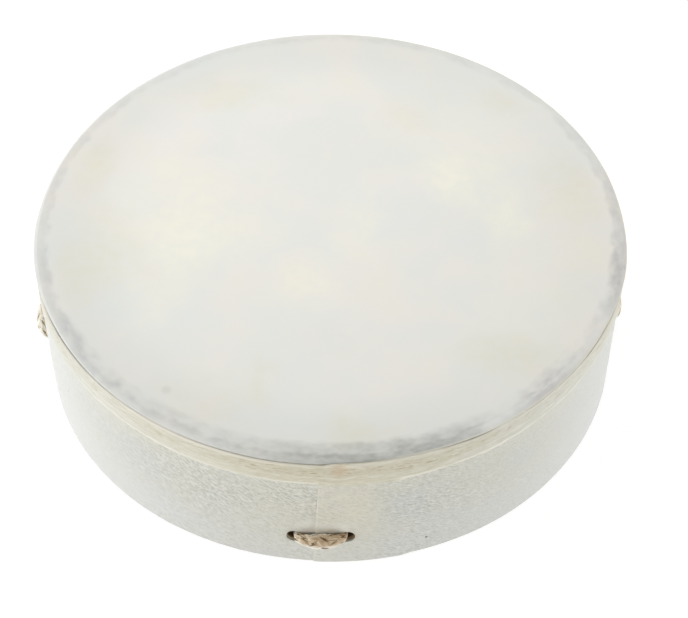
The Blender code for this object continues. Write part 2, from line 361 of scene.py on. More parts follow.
# ----------------------------------------------------------------- materials
def film_material():
    s = Shade("milky_film")
    p = s.coords()
    x, y, z = s.split(p)
    r = s.math("SQRT", s.math("ADD", s.math("MULTIPLY", x, x),
                              s.math("MULTIPLY", y, y)))
    front = s.math("MULTIPLY", y, -1.0)
    safe = s.math("MAXIMUM", r, 0.001)
    c = s.math("DIVIDE", front, safe)
    ang = s.math("ARCTAN2", x, front)               # 0 at the front
    flat = s.mapping(p, scale=(1, 1, 0))

    # soft clouds of warm and cool white
    cloud = s.noise(flat, 11.0, 2.0, 0.5, 0.3)
    cloud2 = s.noise(s.mapping(flat, loc=(3.1, 1.7, 0)), 34.0, 2.0, 0.5)
    tone = s.math("ADD", s.math("MULTIPLY", cloud, 0.6),
                  s.math("MULTIPLY", cloud2, 0.4))
    col = s.ramp(tone, [(0.34, srgb(226, 228, 224)),
                        (0.47, srgb(229, 229, 223)),
                        (0.55, srgb(231, 229, 222)),
                        (0.66, srgb(233, 230, 219))])
    # the listed stains, whose edges are broken by two sizes of noise
    warp = s.vmath("SCALE", s.vmath("SUBTRACT", s.noise(
        flat, 30.0, 2.5, 0.55, color=True), (0.5, 0.5, 0.5)))
    warp.node.inputs["Scale"].default_value = 0.045
    bent = s.vmath("ADD", flat, warp)
    grit = s.step(s.noise(flat, 150.0, 2.0, 0.55), 0.30, 0.70, 0.6, 1.05)
    grit = s.math("MULTIPLY", grit, s.step(r, 0.1560, 0.1470))
    for sx, sy, rx, ry, amount, stain in FILM_STAINS:
        d = s.vmath("MULTIPLY", s.vmath(
            "SUBTRACT", bent, (sx * MM, sy * MM, 0.0)),
            (1000.0 / rx, 1000.0 / ry, 0.0))
        d = s.vmath("LENGTH", d, out="Value")
        blob = s.math("MULTIPLY", s.step(d, 1.15, 0.0, 0.0, amount), grit)
        col = s.mix(blob, col, stain)
    d = s.vmath("DISTANCE", flat, tuple(v * MM for v in FILM_SMUDGE),
                out="Value")
    d = s.math("ADD", d, s.math("MULTIPLY", s.math("SUBTRACT", cloud2, 0.5),
                                0.004))
    col = s.mix(s.step(d, 0.0036, 0.0004, 0.0, 0.20), col, srgb(176, 164, 142))

    # painted shade: the film is darkened towards its edge, standing in for shade
    # from the wall below; least at the right
    painted_edge_shade = s.math("MULTIPLY", s.step(r, 0.112, 0.150, 0.0, 0.11), s.step(
        s.math("DIVIDE", x, safe), 0.2, 0.8, 1.0, 0.25))
    col = s.mix(painted_edge_shade, col, srgb(160, 161, 156))

    # the glue shows through as a soft mottled ring, densest at the front;
    # its blotches are drawn out along the rim
    rim_way = s.join(s.math("MULTIPLY", ang, 0.159 * 0.62), r, 0.0)
    mottle = s.noise(s.mapping(rim_way, loc=(7.319, 2.2, 0)), 165.0, 1.6, 0.5,
                     0.15)
    patch = s.noise(s.mapping(rim_way, loc=(1.319, 5.2, 0)), 62.0, 1.0, 0.5)
    small = s.noise(s.mapping(rim_way, loc=(4.4, 0.9, 0)), 420.0, 1.0, 0.5)
    ragged = s.math("ADD", s.math("MULTIPLY", s.math("SUBTRACT", mottle, 0.5),
                                  0.0050),
                    s.math("MULTIPLY", s.math("SUBTRACT", patch, 0.5), 0.006))
    rr = s.math("ADD", r, ragged)
    ahead = s.math("MAXIMUM", c, 0.0)
    inner = s.math("SUBTRACT", s.math("SUBTRACT", 0.1538, s.math(
        "MULTIPLY", c, 0.0020)), s.math("MULTIPLY", s.math(
            "POWER", ahead, 3.0), 0.0053))
    amount = s.step(c, -0.9, 0.3, 0.075, 0.115)
    for mid, half, add, deeper in RING_ZONES:
        off = s.math("ABSOLUTE", s.math("SUBTRACT", ang, math.radians(mid)))
        part = s.step(off, math.radians(half), math.radians(half * 0.3))
        amount = s.math("ADD", amount, s.math("MULTIPLY", part, add))
        if deeper:
            inner = s.math("SUBTRACT", inner, s.math(
                "MULTIPLY", part, deeper * MM))
    wide = s.step(rr, inner, s.math("ADD", inner, s.step(
        c, -0.2, 0.9, 0.0028, 0.0055)))
    tight = s.step(rr, 0.1535, 0.1570)
    speck = s.math("ADD", s.math("MULTIPLY", mottle, 0.55), s.math(
        "MULTIPLY", patch, 0.45))
    speck = s.math("MULTIPLY", s.step(speck, 0.36, 0.64, -0.46, 0.50),
                   s.step(amount, 0.16, 0.45, 1.0, 0.42))
    speck = s.math("ADD", speck, s.step(small, 0.3, 0.7, 0.88, 1.12))
    grey = s.math("MULTIPLY", amount, s.math(
        "ADD", s.math("MULTIPLY", wide, 0.58), s.math(
            "MULTIPLY", tight, 0.42)))
    # a paler strip between the blotches and the rim, on the left
    strip = s.math("MULTIPLY", s.step(r, 0.1576, 0.1600),
                   s.step(ang, -0.18, -0.50))
    grey = s.math("MULTIPLY", grey, s.math(
        "SUBTRACT", 1.0, s.math("MULTIPLY", strip, 0.32)))
    grey = s.math("MULTIPLY", grey, speck, clamp=True)
    tint = s.mix(s.step(c, 0.75, 0.97), srgb(112, 114, 124),
                 srgb(118, 120, 112))
    col = s.mix(grey, col, tint)
    # at the right a pale streak runs through the ring, along the rim
    pale_streak = s.math("MULTIPLY", s.step(ang, math.radians(24.0),
                                       math.radians(31.0)),
                    s.step(ang, math.radians(58.0), math.radians(48.0)))
    lane = s.math("ABSOLUTE", s.math("SUBTRACT", s.math(
        "ADD", r, s.math("MULTIPLY", ragged, 0.35)), 0.1575))
    pale_streak = s.math("MULTIPLY", pale_streak, s.step(lane, 0.0015, 0.0004))
    pale_streak = s.math("MULTIPLY", pale_streak, s.step(small, 0.36, 0.58, 0.10, 0.55))
    col = s.mix(pale_streak, col, srgb(224, 224, 222))
    # painted highlight: the trimmed edge is made paler, most at the left
    pale = s.math("ADD", s.step(x, 0.0, -0.13, 0.08, 0.42),
                  s.step(c, 0.2, -0.6, 0.0, 0.2), clamp=True)
    rim = s.math("MULTIPLY", s.step(r, 0.1604, 0.1612), pale)
    col = s.mix(rim, col, srgb(240, 240, 238))
    # a pale olive colour on the lip's turned-down edge, right of the front
    brim = s.math("MULTIPLY", s.step(z, 0.08792, 0.08780),
                  s.step(ang, 0.10, 0.35, 0.0, 0.55))
    col = s.mix(brim, col, srgb(226, 223, 204))

    fine = s.noise(flat, 900.0, 2.0, 0.6)
    wide_h = s.noise(flat, 30.0, 2.0, 0.5)
    n1 = s.bump(fine, 0.05, 0.0004)
    n2 = s.bump(wide_h, 0.06, 0.0012, n1)
    n3 = s.bump(s.math("MULTIPLY", wide, mottle), 0.12, 0.0006, n2)
    rough = s.math("ADD", 0.46, s.math("MULTIPLY", cloud2, 0.14))
    return s.finish(col, rough, n3, Specular_IOR_Level=0.35)


def wrap_material():
    s = Shade("grained_sheet")
    uv = s.uv()                         # metres along the sheet and up it
    u, v, _ = s.split(uv)
    x, y, z = s.split(s.coords())
    # low grain that runs downhill to the right, with bends in its lines
    bend = s.vmath("SCALE", s.vmath("SUBTRACT", s.noise(
        s.mapping(uv, scale=(90, 90, 1)), 1.0, 2.0, color=True),
        (0.5, 0.5, 0.5)))
    bend.node.inputs["Scale"].default_value = 0.0032
    lean = s.mapping(s.vmath("ADD", uv, bend), rot=(0, 0, math.radians(27.0)))
    ridge = s.noise(s.mapping(lean, scale=(210.0, 1180.0, 1.0)), 1.0, 2.0,
                    0.55, 0.2)
    fine = s.noise(s.mapping(lean, scale=(600.0, 2300.0, 1.0)), 1.0, 2.0, 0.6)
    pores = s.voronoi(s.mapping(lean, scale=(430.0, 820.0, 1.0)), 1.0)
    height = s.math("ADD", s.math("MULTIPLY", ridge, 0.44),
                    s.math("ADD", s.math("MULTIPLY", fine, 0.40),
                           s.math("MULTIPLY", pores, 0.16)))

    cloud = s.noise(s.mapping(uv, scale=(24, 34, 1)), 1.0, 3.0, 0.55)
    patch = s.noise(s.mapping(uv, scale=(75, 75, 1)), 1.0, 3.0, 0.55)
    worn = s.noise(s.mapping(uv, scale=(17, 30, 1), loc=(5, 2, 0)), 1.0, 1.0)
    col = s.ramp(cloud, [(0.32, srgb(210, 211, 205)),
                         (0.50, srgb(212, 212, 203)),
                         (0.68, srgb(214, 212, 201))])
    # painted light: whiter away from the front, where the side lights fall, and
    # towards the bottom, where the floor's light falls
    away = s.math("ABSOLUTE", x)
    col = s.mix(s.step(away, 0.095, 0.155, 0.0, 1.0), col, srgb(217, 218, 214))
    col = s.mix(s.step(v, 0.042, 0.006, 0.0, 0.50), col, srgb(221, 222, 220))
    # yellowed by glue on the doubled lap and, fainter, to the left of it
    lap = s.step(s.math("ADD", u, s.math("MULTIPLY", s.math(
        "SUBTRACT", patch, 0.5), 0.016)), 0.0415, 0.0230, 0.0, 0.86)
    near = s.step(u, TURN_LENGTH * MM - 0.062, TURN_LENGTH * MM - 0.018, 0.0,
                  0.50)
    warm = s.math("MULTIPLY", s.math("MAXIMUM", lap, near),
                  s.step(patch, 0.28, 0.66, 0.75, 1.05))
    warm = s.math("MULTIPLY", warm, s.step(v, 0.004, 0.046, 0.42, 1.0))
    top = s.math("MULTIPLY", s.step(v, 0.050, 0.068),
                 s.step(patch, 0.32, 0.68, 0.1, 0.42))
    top = s.math("MULTIPLY", top, s.step(away, 0.15, 0.09, 0.4, 1.0))
    col = s.mix(s.math("MAXIMUM", warm, top), col, srgb(223, 219, 200))
    # grain: slightly soiled troughs, slightly worn crests
    deep = s.math("MULTIPLY", s.step(worn, 0.35, 0.62, 0.34, 0.56),
                  s.step(away, 0.050, 0.135, 1.35, 0.42))
    deep = s.math("MULTIPLY", deep, s.step(x, -0.018, -0.058, 1.28, 1.22))
    deep = s.math("MULTIPLY", deep, s.step(v, 0.012, 0.046, 0.66, 1.08))
    deep = s.math("MULTIPLY", deep, s.step(x, 0.036, 0.100, 1.0, 0.56))
    deep = s.math("MULTIPLY", deep, s.step(lap, 0.0, 0.9, 1.0, 0.64))
    col = s.mix(s.math("MULTIPLY", s.step(height, 0.53, 0.37), deep), col,
                srgb(184, 184, 175))
    col = s.mix(s.math("MULTIPLY", s.step(height, 0.50, 0.64), deep), col,
                srgb(232, 232, 226))
    # cut edge along the lap's free end
    cut = s.math("MULTIPLY", s.step(u, 0.0008, 0.0003, 0.0, 0.3),
                 s.step(v, 0.020, 0.040, 0.4, 1.0))
    col = s.mix(cut, col, srgb(232, 229, 216))
    # handling marks
    for mu, mv, size, amount in WRAP_SPECKS:
        d = s.vmath("DISTANCE", uv, (mu * MM, mv * MM, 0.0), out="Value")
        col = s.mix(s.step(d, size * MM, size * 0.45 * MM, 0.0, amount), col,
                    srgb(70, 62, 48))
    # soiling round the rope holes
    soil = None
    for hu, hz in WRAP_HOLES:
        d = s.vmath("DISTANCE", uv, (hu * MM, hz * MM, 0.0), out="Value")
        one = s.step(d, 0.0070, 0.0045)
        soil = one if soil is None else s.math("MAXIMUM", soil, one)
    soil = s.math("MULTIPLY", soil, s.step(patch, 0.3, 0.7, 0.04, 0.20))
    col = s.mix(soil, col, srgb(172, 162, 138))

    # painted light: a paler band just above the front stitch, lifting the rope's
    # shadow on the wall
    painted_light_above_rope = s.math("MULTIPLY", s.step(v, 0.0390, 0.0290, 0.0, 0.62),
                 s.step(v, 0.0255, 0.0275))
    painted_light_above_rope = s.math("MULTIPLY", painted_light_above_rope, s.step(s.math("ABSOLUTE", s.math(
        "ADD", x, 0.0040)), 0.0165, 0.0095))
    painted_light_above_rope = s.math("MULTIPLY", painted_light_above_rope, s.step(y, -0.10, -0.14))
    col = s.mix(painted_light_above_rope, col, srgb(249, 247, 236))
    # painted shade: a thin dark line along the top of the front stitch, where
    # the rope meets the wall
    tilt = s.math("SUBTRACT", v, s.math("MULTIPLY", x, 0.074))
    lie = s.math("MULTIPLY", s.step(tilt, 0.0269, 0.0261, 0.0, 0.66), s.step(
        s.math("ABSOLUTE", s.math("ADD", x, 0.0046)), 0.0145, 0.0115))
    lie = s.math("MULTIPLY", lie, s.step(v, 0.0200, 0.0215))
    lie = s.math("MULTIPLY", lie, s.step(y, -0.10, -0.14))
    col = s.mix(lie, col, srgb(96, 78, 50))

    n = s.bump(height, 0.65, 0.0009)
    rough = s.math("ADD", 0.60, s.math("MULTIPLY", ridge, 0.22))
    return s.finish(col, rough, n, Specular_IOR_Level=0.3)


def strip_material():
    s = Shade("fibre_strip")
    p = s.coords()
    x, y, z = s.split(p)
    ang = s.math("ARCTAN2", x, s.math("MULTIPLY", y, -1.0))
    # fibres lie along the strip: noise squeezed in height
    long1 = s.noise(s.mapping(p, scale=(120, 120, 820)), 1.0, 2.5, 0.6, 0.3)
    long2 = s.noise(s.mapping(p, scale=(230, 230, 1900)), 1.0, 2.0, 0.6, 0.2)
    dash = s.noise(s.mapping(p, scale=(190, 190, 1050), loc=(4, 9, 2)), 1.0,
                   1.5, 0.5)
    cloud = s.noise(s.mapping(p, scale=(30, 30, 70)), 1.0, 2.0)
    fleck = s.noise(s.mapping(p, scale=(75, 75, 260), loc=(1, 3, 8)), 1.0, 2.0)
    wob = s.math("MULTIPLY", s.math("SUBTRACT", cloud, 0.5), 0.005)
    zz = s.math("ADD", z, wob)
    # yellowed near the joint of its ends, most at the joint itself
    aged = s.step(s.math("ABSOLUTE", s.math("ADD", ang, 0.10)), 0.95, 0.12)
    fresh = s.ramp(long1, [(0.30, srgb(203, 202, 189)),
                           (0.48, srgb(211, 210, 199)),
                           (0.62, srgb(217, 216, 206)),
                           (0.76, srgb(225, 224, 216))])
    old = s.ramp(long1, [(0.30, srgb(203, 197, 173)),
                         (0.48, srgb(213, 208, 187)),
                         (0.62, srgb(220, 215, 196)),
                         (0.76, srgb(229, 225, 210))])
    col = s.mix(aged, fresh, old)
    # painted light: the left side is paler, where the light falls strongest
    pale = s.math("MULTIPLY", s.step(ang, -0.10, -0.45, 0.0, 0.20),
                  s.step(ang, -1.15, -0.70, 0.0, 1.0))
    col = s.mix(pale, col, srgb(231, 230, 220))
    # the darker zone and its brown dashes lie in the upper half
    zone = s.math("MULTIPLY", s.step(zz, 0.0738, 0.0772),
                  s.step(z, 0.0842, 0.0816))
    here = s.step(s.math("ABSOLUTE", s.math("SUBTRACT", ang, 0.10)), 0.62,
                  0.15)
    tan = s.math("MULTIPLY", zone, s.step(here, 0.0, 1.0, 0.10, 0.36))
    col = s.mix(tan, col, srgb(202, 195, 170))
    brown = s.math("MULTIPLY", s.step(dash, 0.57, 0.68), zone)
    brown = s.math("MULTIPLY", brown, s.step(here, 0.0, 1.0, 0.24, 0.58))
    col = s.mix(brown, col, srgb(160, 142, 106))
    olive = s.math("MULTIPLY", s.step(fleck, 0.54, 0.72, 0.0, 0.42), zone)
    col = s.mix(olive, col, srgb(192, 188, 156))
    col = s.mix(s.step(long2, 0.57, 0.72, 0.0, 0.72), col, srgb(236, 234, 223))
    # a pale crest under the rim and pale torn fibres at the lower edge
    torn = s.math("MULTIPLY", s.step(z, 0.0710, 0.0694),
                  s.step(long1, 0.30, 0.60, 0.25, 0.70))
    lap = s.math("MULTIPLY", s.step(ang, -0.05, -0.03),
                 s.step(ang, 0.235, 0.215))
    torn = s.math("MULTIPLY", torn, s.step(lap, 0.0, 1.0, 1.0, 0.2))
    col = s.mix(torn, col, srgb(236, 234, 222))
    line2 = s.math("MULTIPLY", s.step(s.math("ABSOLUTE", s.math(
        "SUBTRACT", zz, 0.0742)), 0.0007, 0.0002), s.step(
        long2, 0.4, 0.6, 0.0, 0.5))
    col = s.mix(line2, col, srgb(232, 230, 219))
    left = s.math("MULTIPLY", s.step(ang, 0.0, -0.25, 0.30, 0.75),
                  s.step(ang, -0.85, -0.55, 0.1, 1.0))
    crest = s.math("MULTIPLY", s.step(z, 0.0816, 0.0832), left)
    col = s.mix(crest, col, srgb(232, 228, 216))
    # painted shadow: a dark line close under the film's edge, on the right and,
    # fainter, the left
    c = s.math("MAXIMUM", s.math("COSINE", ang), 0.36)
    brink = s.math("SUBTRACT", 0.0860, s.math("DIVIDE", 0.00155, c))
    painted_lip_shadow = s.step(z, brink, s.math("ADD", brink, 0.0007))
    painted_lip_shadow = s.math("MULTIPLY", painted_lip_shadow, s.math(
        "ADD", s.step(ang, 0.40, 0.75, 0.0, 0.38),
        s.step(ang, -0.50, -0.85, 0.0, 0.22)))
    col = s.mix(s.math("MULTIPLY", painted_lip_shadow, s.step(long1, 0.3, 0.6, 0.7, 1.0)),
                col, srgb(132, 122, 98))
    # painted shade: the strip's upper face under the film's edge is made dark,
    # mostly on the right
    facing = s.split(s.add("ShaderNodeNewGeometry").outputs["True Normal"])[2]
    painted_ledge_shade = s.math("MULTIPLY", s.step(facing, 0.30, 0.80),
                   s.step(z, 0.0800, 0.0815))
    painted_ledge_shade = s.math("MULTIPLY", painted_ledge_shade, s.step(ang, -0.02, 0.12, 0.10, 0.82))
    col = s.mix(painted_ledge_shade, col, srgb(112, 105, 82))
    # amber glue at the butt of its two ends
    d = s.vmath("DISTANCE", p, tuple(polar(160.0, 1.6, 80.5) * MM),
                out="Value")
    d = s.math("ADD", d, s.math("MULTIPLY", s.math(
        "SUBTRACT", long1, 0.5), 0.012))
    col = s.mix(s.step(d, 0.0075, 0.001, 0.0, 0.34), col, srgb(200, 158, 118))

    h = s.math("ADD", s.math("MULTIPLY", long1, 0.5),
               s.math("ADD", s.math("MULTIPLY", long2, 0.3),
                      s.math("MULTIPLY", dash, 0.2)))
    n = s.bump(h, 0.5, 0.0007)
    rough = s.math("ADD", 0.66, s.math("MULTIPLY", long1, 0.2))
    return s.finish(col, rough, n, Specular_IOR_Level=0.25)


def board_material():
    s = Shade("fibre_board")
    p = s.coords()
    x, y, z = s.split(p)
    r = s.math("SQRT", s.math("ADD", s.math("MULTIPLY", x, x),
                              s.math("MULTIPLY", y, y)))
    lie = s.noise(s.mapping(p, scale=(70, 70, 620)), 1.0, 4.0, 0.62, 0.4)
    chips = s.voronoi(s.mapping(p, scale=(190, 190, 420)), 1.0,
                      out="Color")
    chip = s.split(chips)[0]
    mot = s.noise(p, 60.0, 3.0, 0.6)
    col = s.ramp(lie, [(0.28, srgb(150, 122, 86)),
                       (0.45, srgb(178, 150, 112)),
                       (0.58, srgb(193, 168, 130)),
                       (0.75, srgb(211, 190, 154))])
    col = s.mix(s.math("MULTIPLY", chip, 0.35), col, srgb(164, 134, 96))
    col = s.mix(s.step(mot, 0.56, 0.75, 0.0, 0.35), col, srgb(216, 198, 164))
    # plies show as rings on the cut edges
    ply = s.math("PINGPONG", s.math("ADD", r, s.math(
        "MULTIPLY", s.math("SUBTRACT", mot, 0.5), 0.0005)), 0.00052)
    ply = s.step(ply, 0.00004, 0.00018, 0.55, 0.0)
    cut = s.math("MAXIMUM", s.step(z, 0.0011, 0.0005),
                 s.step(z, 0.0858, 0.0864))
    col = s.mix(s.math("MULTIPLY", ply, cut), col, srgb(112, 88, 58))
    scuff = s.math("MULTIPLY", s.step(z, 0.0032, 0.0004),
                   s.step(mot, 0.42, 0.6, 0.0, 0.7))
    col = s.mix(scuff, col, srgb(222, 210, 184))
    # painted shade: the outside just under the head is made dark, deepening the
    # gap under the film's edge; old glue stains it there too
    stain = s.math("MULTIPLY", s.step(z, 0.0828, 0.0842),
                   s.step(r, 0.1566, 0.1576, 0.0, 0.92))
    col = s.mix(stain, col, srgb(120, 112, 94))
    # rope holes: the bore is painted dark inside as shade; its mouth near the
    # outer face is pale raw fibre, made paler on the left holes as painted light
    level = s.math("MULTIPLY", s.step(z, 0.015, 0.017),
                   s.step(z, 0.030, 0.028))
    painted_bore_shade = s.math("MULTIPLY", s.step(r, 0.1521, 0.1524),
                  s.step(r, 0.1575, 0.1558, 0.0, 0.85))
    col = s.mix(s.math("MULTIPLY", painted_bore_shade, level), col, srgb(66, 50, 28))
    mouth = s.math("MULTIPLY", s.step(r, 0.1564, 0.1579, 0.0, 0.9), level)
    mouth = s.math("MULTIPLY", mouth, s.step(x, -0.010, 0.004, 1.0, 0.15))
    col = s.mix(mouth, col, srgb(236, 226, 198))
    n = s.bump(s.math("ADD", lie, s.math("MULTIPLY", chip, 0.4)), 0.5, 0.0009)
    rough = s.math("ADD", 0.68, s.math("MULTIPLY", mot, 0.2))
    return s.finish(col, rough, n, Specular_IOR_Level=0.25)


def glue_material():
    s = Shade("set_glue")
    p = s.coords()
    mot = s.noise(p, 70.0, 3.0, 0.6, 0.5)
    drip = s.noise(p, 240.0, 2.0, 0.5)
    col = s.ramp(mot, [(0.30, srgb(140, 137, 124)), (0.52, srgb(172, 168, 152)),
                       (0.72, srgb(198, 192, 172))])
    n = s.bump(s.math("ADD", mot, s.math("MULTIPLY", drip, 0.4)), 0.5, 0.0012)
    rough = s.math("ADD", 0.24, s.math("MULTIPLY", drip, 0.22))
    return s.finish(col, rough, n, Specular_IOR_Level=0.5, Coat_Weight=0.25,
                    Coat_Roughness=0.2)


def fibre_material(name, dark, mid, light, twist, fibres, soil=None,
                   worn=None):
    """Yarn: fine fibres run along each strand with a slight twist; with soil,
    it is darker where the strands meet and in the grooves between yarns.
    worn: the browned middle of the front stitch, and a pale colour painted
    as light on its lower edge and as a highlight on its outermost middle."""
    s = Shade(name)
    uv = s.uv()                       # around the strand, metres along it
    a, b, _ = s.split(uv)
    around = s.math("ADD", a, s.math("MULTIPLY", b, twist))
    ring = s.math("MULTIPLY", around, 2.0 * math.pi)
    vec = s.join(s.math("COSINE", ring), s.math("SINE", ring),
                 s.math("MULTIPLY", b, 55.0))
    strand = s.noise(vec, fibres, 3.0, 0.6, 0.1)
    blot = s.noise(s.coords(), 130.0, 2.0, 0.55)
    fine = s.noise(vec, fibres * 2.7, 2.0, 0.6)
    col = s.ramp(s.math("ADD", s.math("MULTIPLY", strand, 0.7),
                        s.math("MULTIPLY", blot, 0.3)),
                 [(0.34, dark), (0.50, mid), (0.66, light)])
    col = s.mix(s.step(fine, 0.62, 0.78, 0.0, 0.5), col, light)
    if worn is not None:
        x, y, z = s.split(s.coords())
        outside = s.step(y, -0.150, -0.157)
        mid_way = s.math("MULTIPLY", s.step(s.math("ABSOLUTE", s.math(
            "ADD", x, -0.0005)), 0.0120, 0.0050), s.step(blot, 0.34, 0.60,
                                                         0.15, 0.80))
        col = s.mix(s.math("MULTIPLY", mid_way, outside), col, worn[0])
        # painted light: the front stitch's lower edge is pale, lit from the
        # floor, with a painted highlight bar on its outermost middle
        under = s.step(z, 0.0258, 0.0224, 0.0, 0.85)
        painted_highlight_bar = s.math("MULTIPLY", s.step(y, -0.1636, -0.1626, 0.0, 0.75),
                     s.step(s.math("ABSOLUTE", s.math("ADD", x, 0.0060)),
                            0.0062, 0.0040))
        under = s.math("MULTIPLY", s.math("MAXIMUM", under, painted_highlight_bar), outside)
        col = s.mix(under, col, worn[1])
    if soil is not None:
        # grooves between the yarns of a strand
        ply = s.math("ABSOLUTE", s.math("COSINE", s.math("MULTIPLY", s.math(
            "ADD", a, s.math("MULTIPLY", b, 14.0)), 5.0 * math.pi)))
        col = s.mix(s.math("MULTIPLY", s.step(ply, 0.34, 0.06), s.step(
            strand, 0.40, 0.60, 0.42, 0.12)), col, soil)
        edge = s.math("ABSOLUTE", s.math("COSINE", s.math(
            "MULTIPLY", a, 2.0 * math.pi)))
        edge = s.math("ADD", edge, s.math("MULTIPLY", s.math(
            "SUBTRACT", blot, 0.5), 0.35))
        col = s.mix(s.step(edge, 0.82, 1.01, 0.0, 0.82), col, soil)
    n = s.bump(s.math("ADD", s.math("MULTIPLY", strand, 0.6),
                      s.math("MULTIPLY", fine, 0.4)), 0.7, 0.0006)
    rough = s.math("ADD", 0.72, s.math("MULTIPLY", fine, 0.2))
    return s.finish(col, rough, n, Specular_IOR_Level=0.2, Sheen_Weight=0.15,
                    Sheen_Roughness=0.5)


def floor_material():
    s = Shade("studio_sweep")
    p = s.coords()
    x, y, z = s.split(p)
    tone = s.noise(p, 3.0, 2.0)
    col = s.mix(s.math("MULTIPLY", tone, 0.3), (FLOOR_GREY,) * 3 + (1.0,),
                (FLOOR_GREY * 0.985,) * 3 + (1.0,))
    # the sweep glows a little, except under the drum
    r = s.math("SQRT", s.math("ADD", s.math("MULTIPLY", x, x),
                              s.math("MULTIPLY", y, y)))
    glow = s.step(r, 0.150, 0.158, 0.0, FLOOR_GLOW)
    s.bsdf.inputs["Emission Color"].default_value = (1, 1, 1, 1)
    s.put(s.bsdf.inputs["Emission Strength"], glow)
    return s.finish(col, 0.8, Specular_IOR_Level=0.1)



# Places along the outer sheet, in mm from the lap's free edge
LAP_LENGTH = math.radians(LAP_INNER - LAP_TOP) * SURF_R


def wrap_u(deg):
    """Distance along the sheet from its free edge to an angle."""
    return math.radians(deg - LAP_TOP) * SURF_R


WRAP_SPECKS = [(wrap_u(18.6), 10.8, 0.9, 0.9), (wrap_u(297.0), 38.0, 0.8, 0.4),
               (wrap_u(64.0), 31.0, 0.6, 0.35), (wrap_u(212.0), 22.0, 0.7, 0.4)]
WRAP_HOLES = ([(wrap_u(h % 360.0), z) for h, z in HOLES]
              + [(wrap_u(HOLES[1][0] + 360.0), HOLES[1][1])])


# -------------------------------------------------------------------- pieces
def shell_core(mat):
    nu = 480
    deg = np.arange(nu) * 360.0 / nu
    u = np.radians(deg) * SURF_R
    edge = 0.9
    z = np.concatenate([np.linspace(edge, 8, 5), np.linspace(8, 36, 20)[1:],
                        np.linspace(36, CORE_TOP - edge, 18)[1:]])
    holes = [(math.radians(h % 360.0) * SURF_R, hz) for h, hz in HOLES]
    skin = Skin(u, z, holes, HOLE_D / 2.0, close=True)
    angle = np.degrees(skin.u / SURF_R)
    n = len(skin.u)
    wob = 0.10 * fbm2(skin.u / 40.0, skin.z / 15.0, 5, 3,
                      wrap=0)
    wob *= smooth(0, 40, skin.u) * smooth(0, 40, 2 * math.pi * SURF_R - skin.u)
    outer = polar(CORE_R_OUT, angle, skin.z)
    inner = polar(CORE_R_IN + wob, angle, skin.z)
    verts = [outer, inner]
    faces = [skin.quads, skin.quads[:, ::-1] + n]
    for rim in skin.rims:
        faces.append(strip_faces(rim, rim + n, close=True))
    # rounded lower and upper edges
    bottom, top = skin.index[:, 0], skin.index[:, -1]
    count = 2 * n

    def lip(row_out, row_in, z_end, sign):
        nonlocal count
        rows = [row_out]
        steps = 5
        for k in range(1, steps + 1):
            a = 0.5 * math.pi * k / steps
            rows.append(("o", CORE_R_OUT - edge * (1 - math.cos(a)),
                         z_end + sign * edge * (1 - math.sin(a))))
        rows.append(("o", (CORE_R_OUT + CORE_R_IN) / 2.0, z_end))
        for k in range(steps, 0, -1):
            a = 0.5 * math.pi * k / steps
            rows.append(("i", CORE_R_IN + edge * (1 - math.cos(a)),
                         z_end + sign * edge * (1 - math.sin(a))))
        rows.append(row_in)
        made = []
        for row in rows:
            if isinstance(row, tuple):
                verts.append(polar(row[1], deg, row[2]))
                made.append(np.arange(count, count + nu))
                count += nu
            else:
                made.append(row)
        for a, b in zip(made, made[1:]):
            faces.append(strip_faces(a, b, close=True, flip=sign > 0))

    lip(bottom, bottom + n, 0.0, 1.0)
    lip(top, top + n, CORE_TOP, -1.0)
    obj = make_object("hoop_board", hoop_shape(np.concatenate(verts),
                                               HOOP_SHARE),
                      np.concatenate(faces))
    obj.data.materials.append(mat)
    return obj


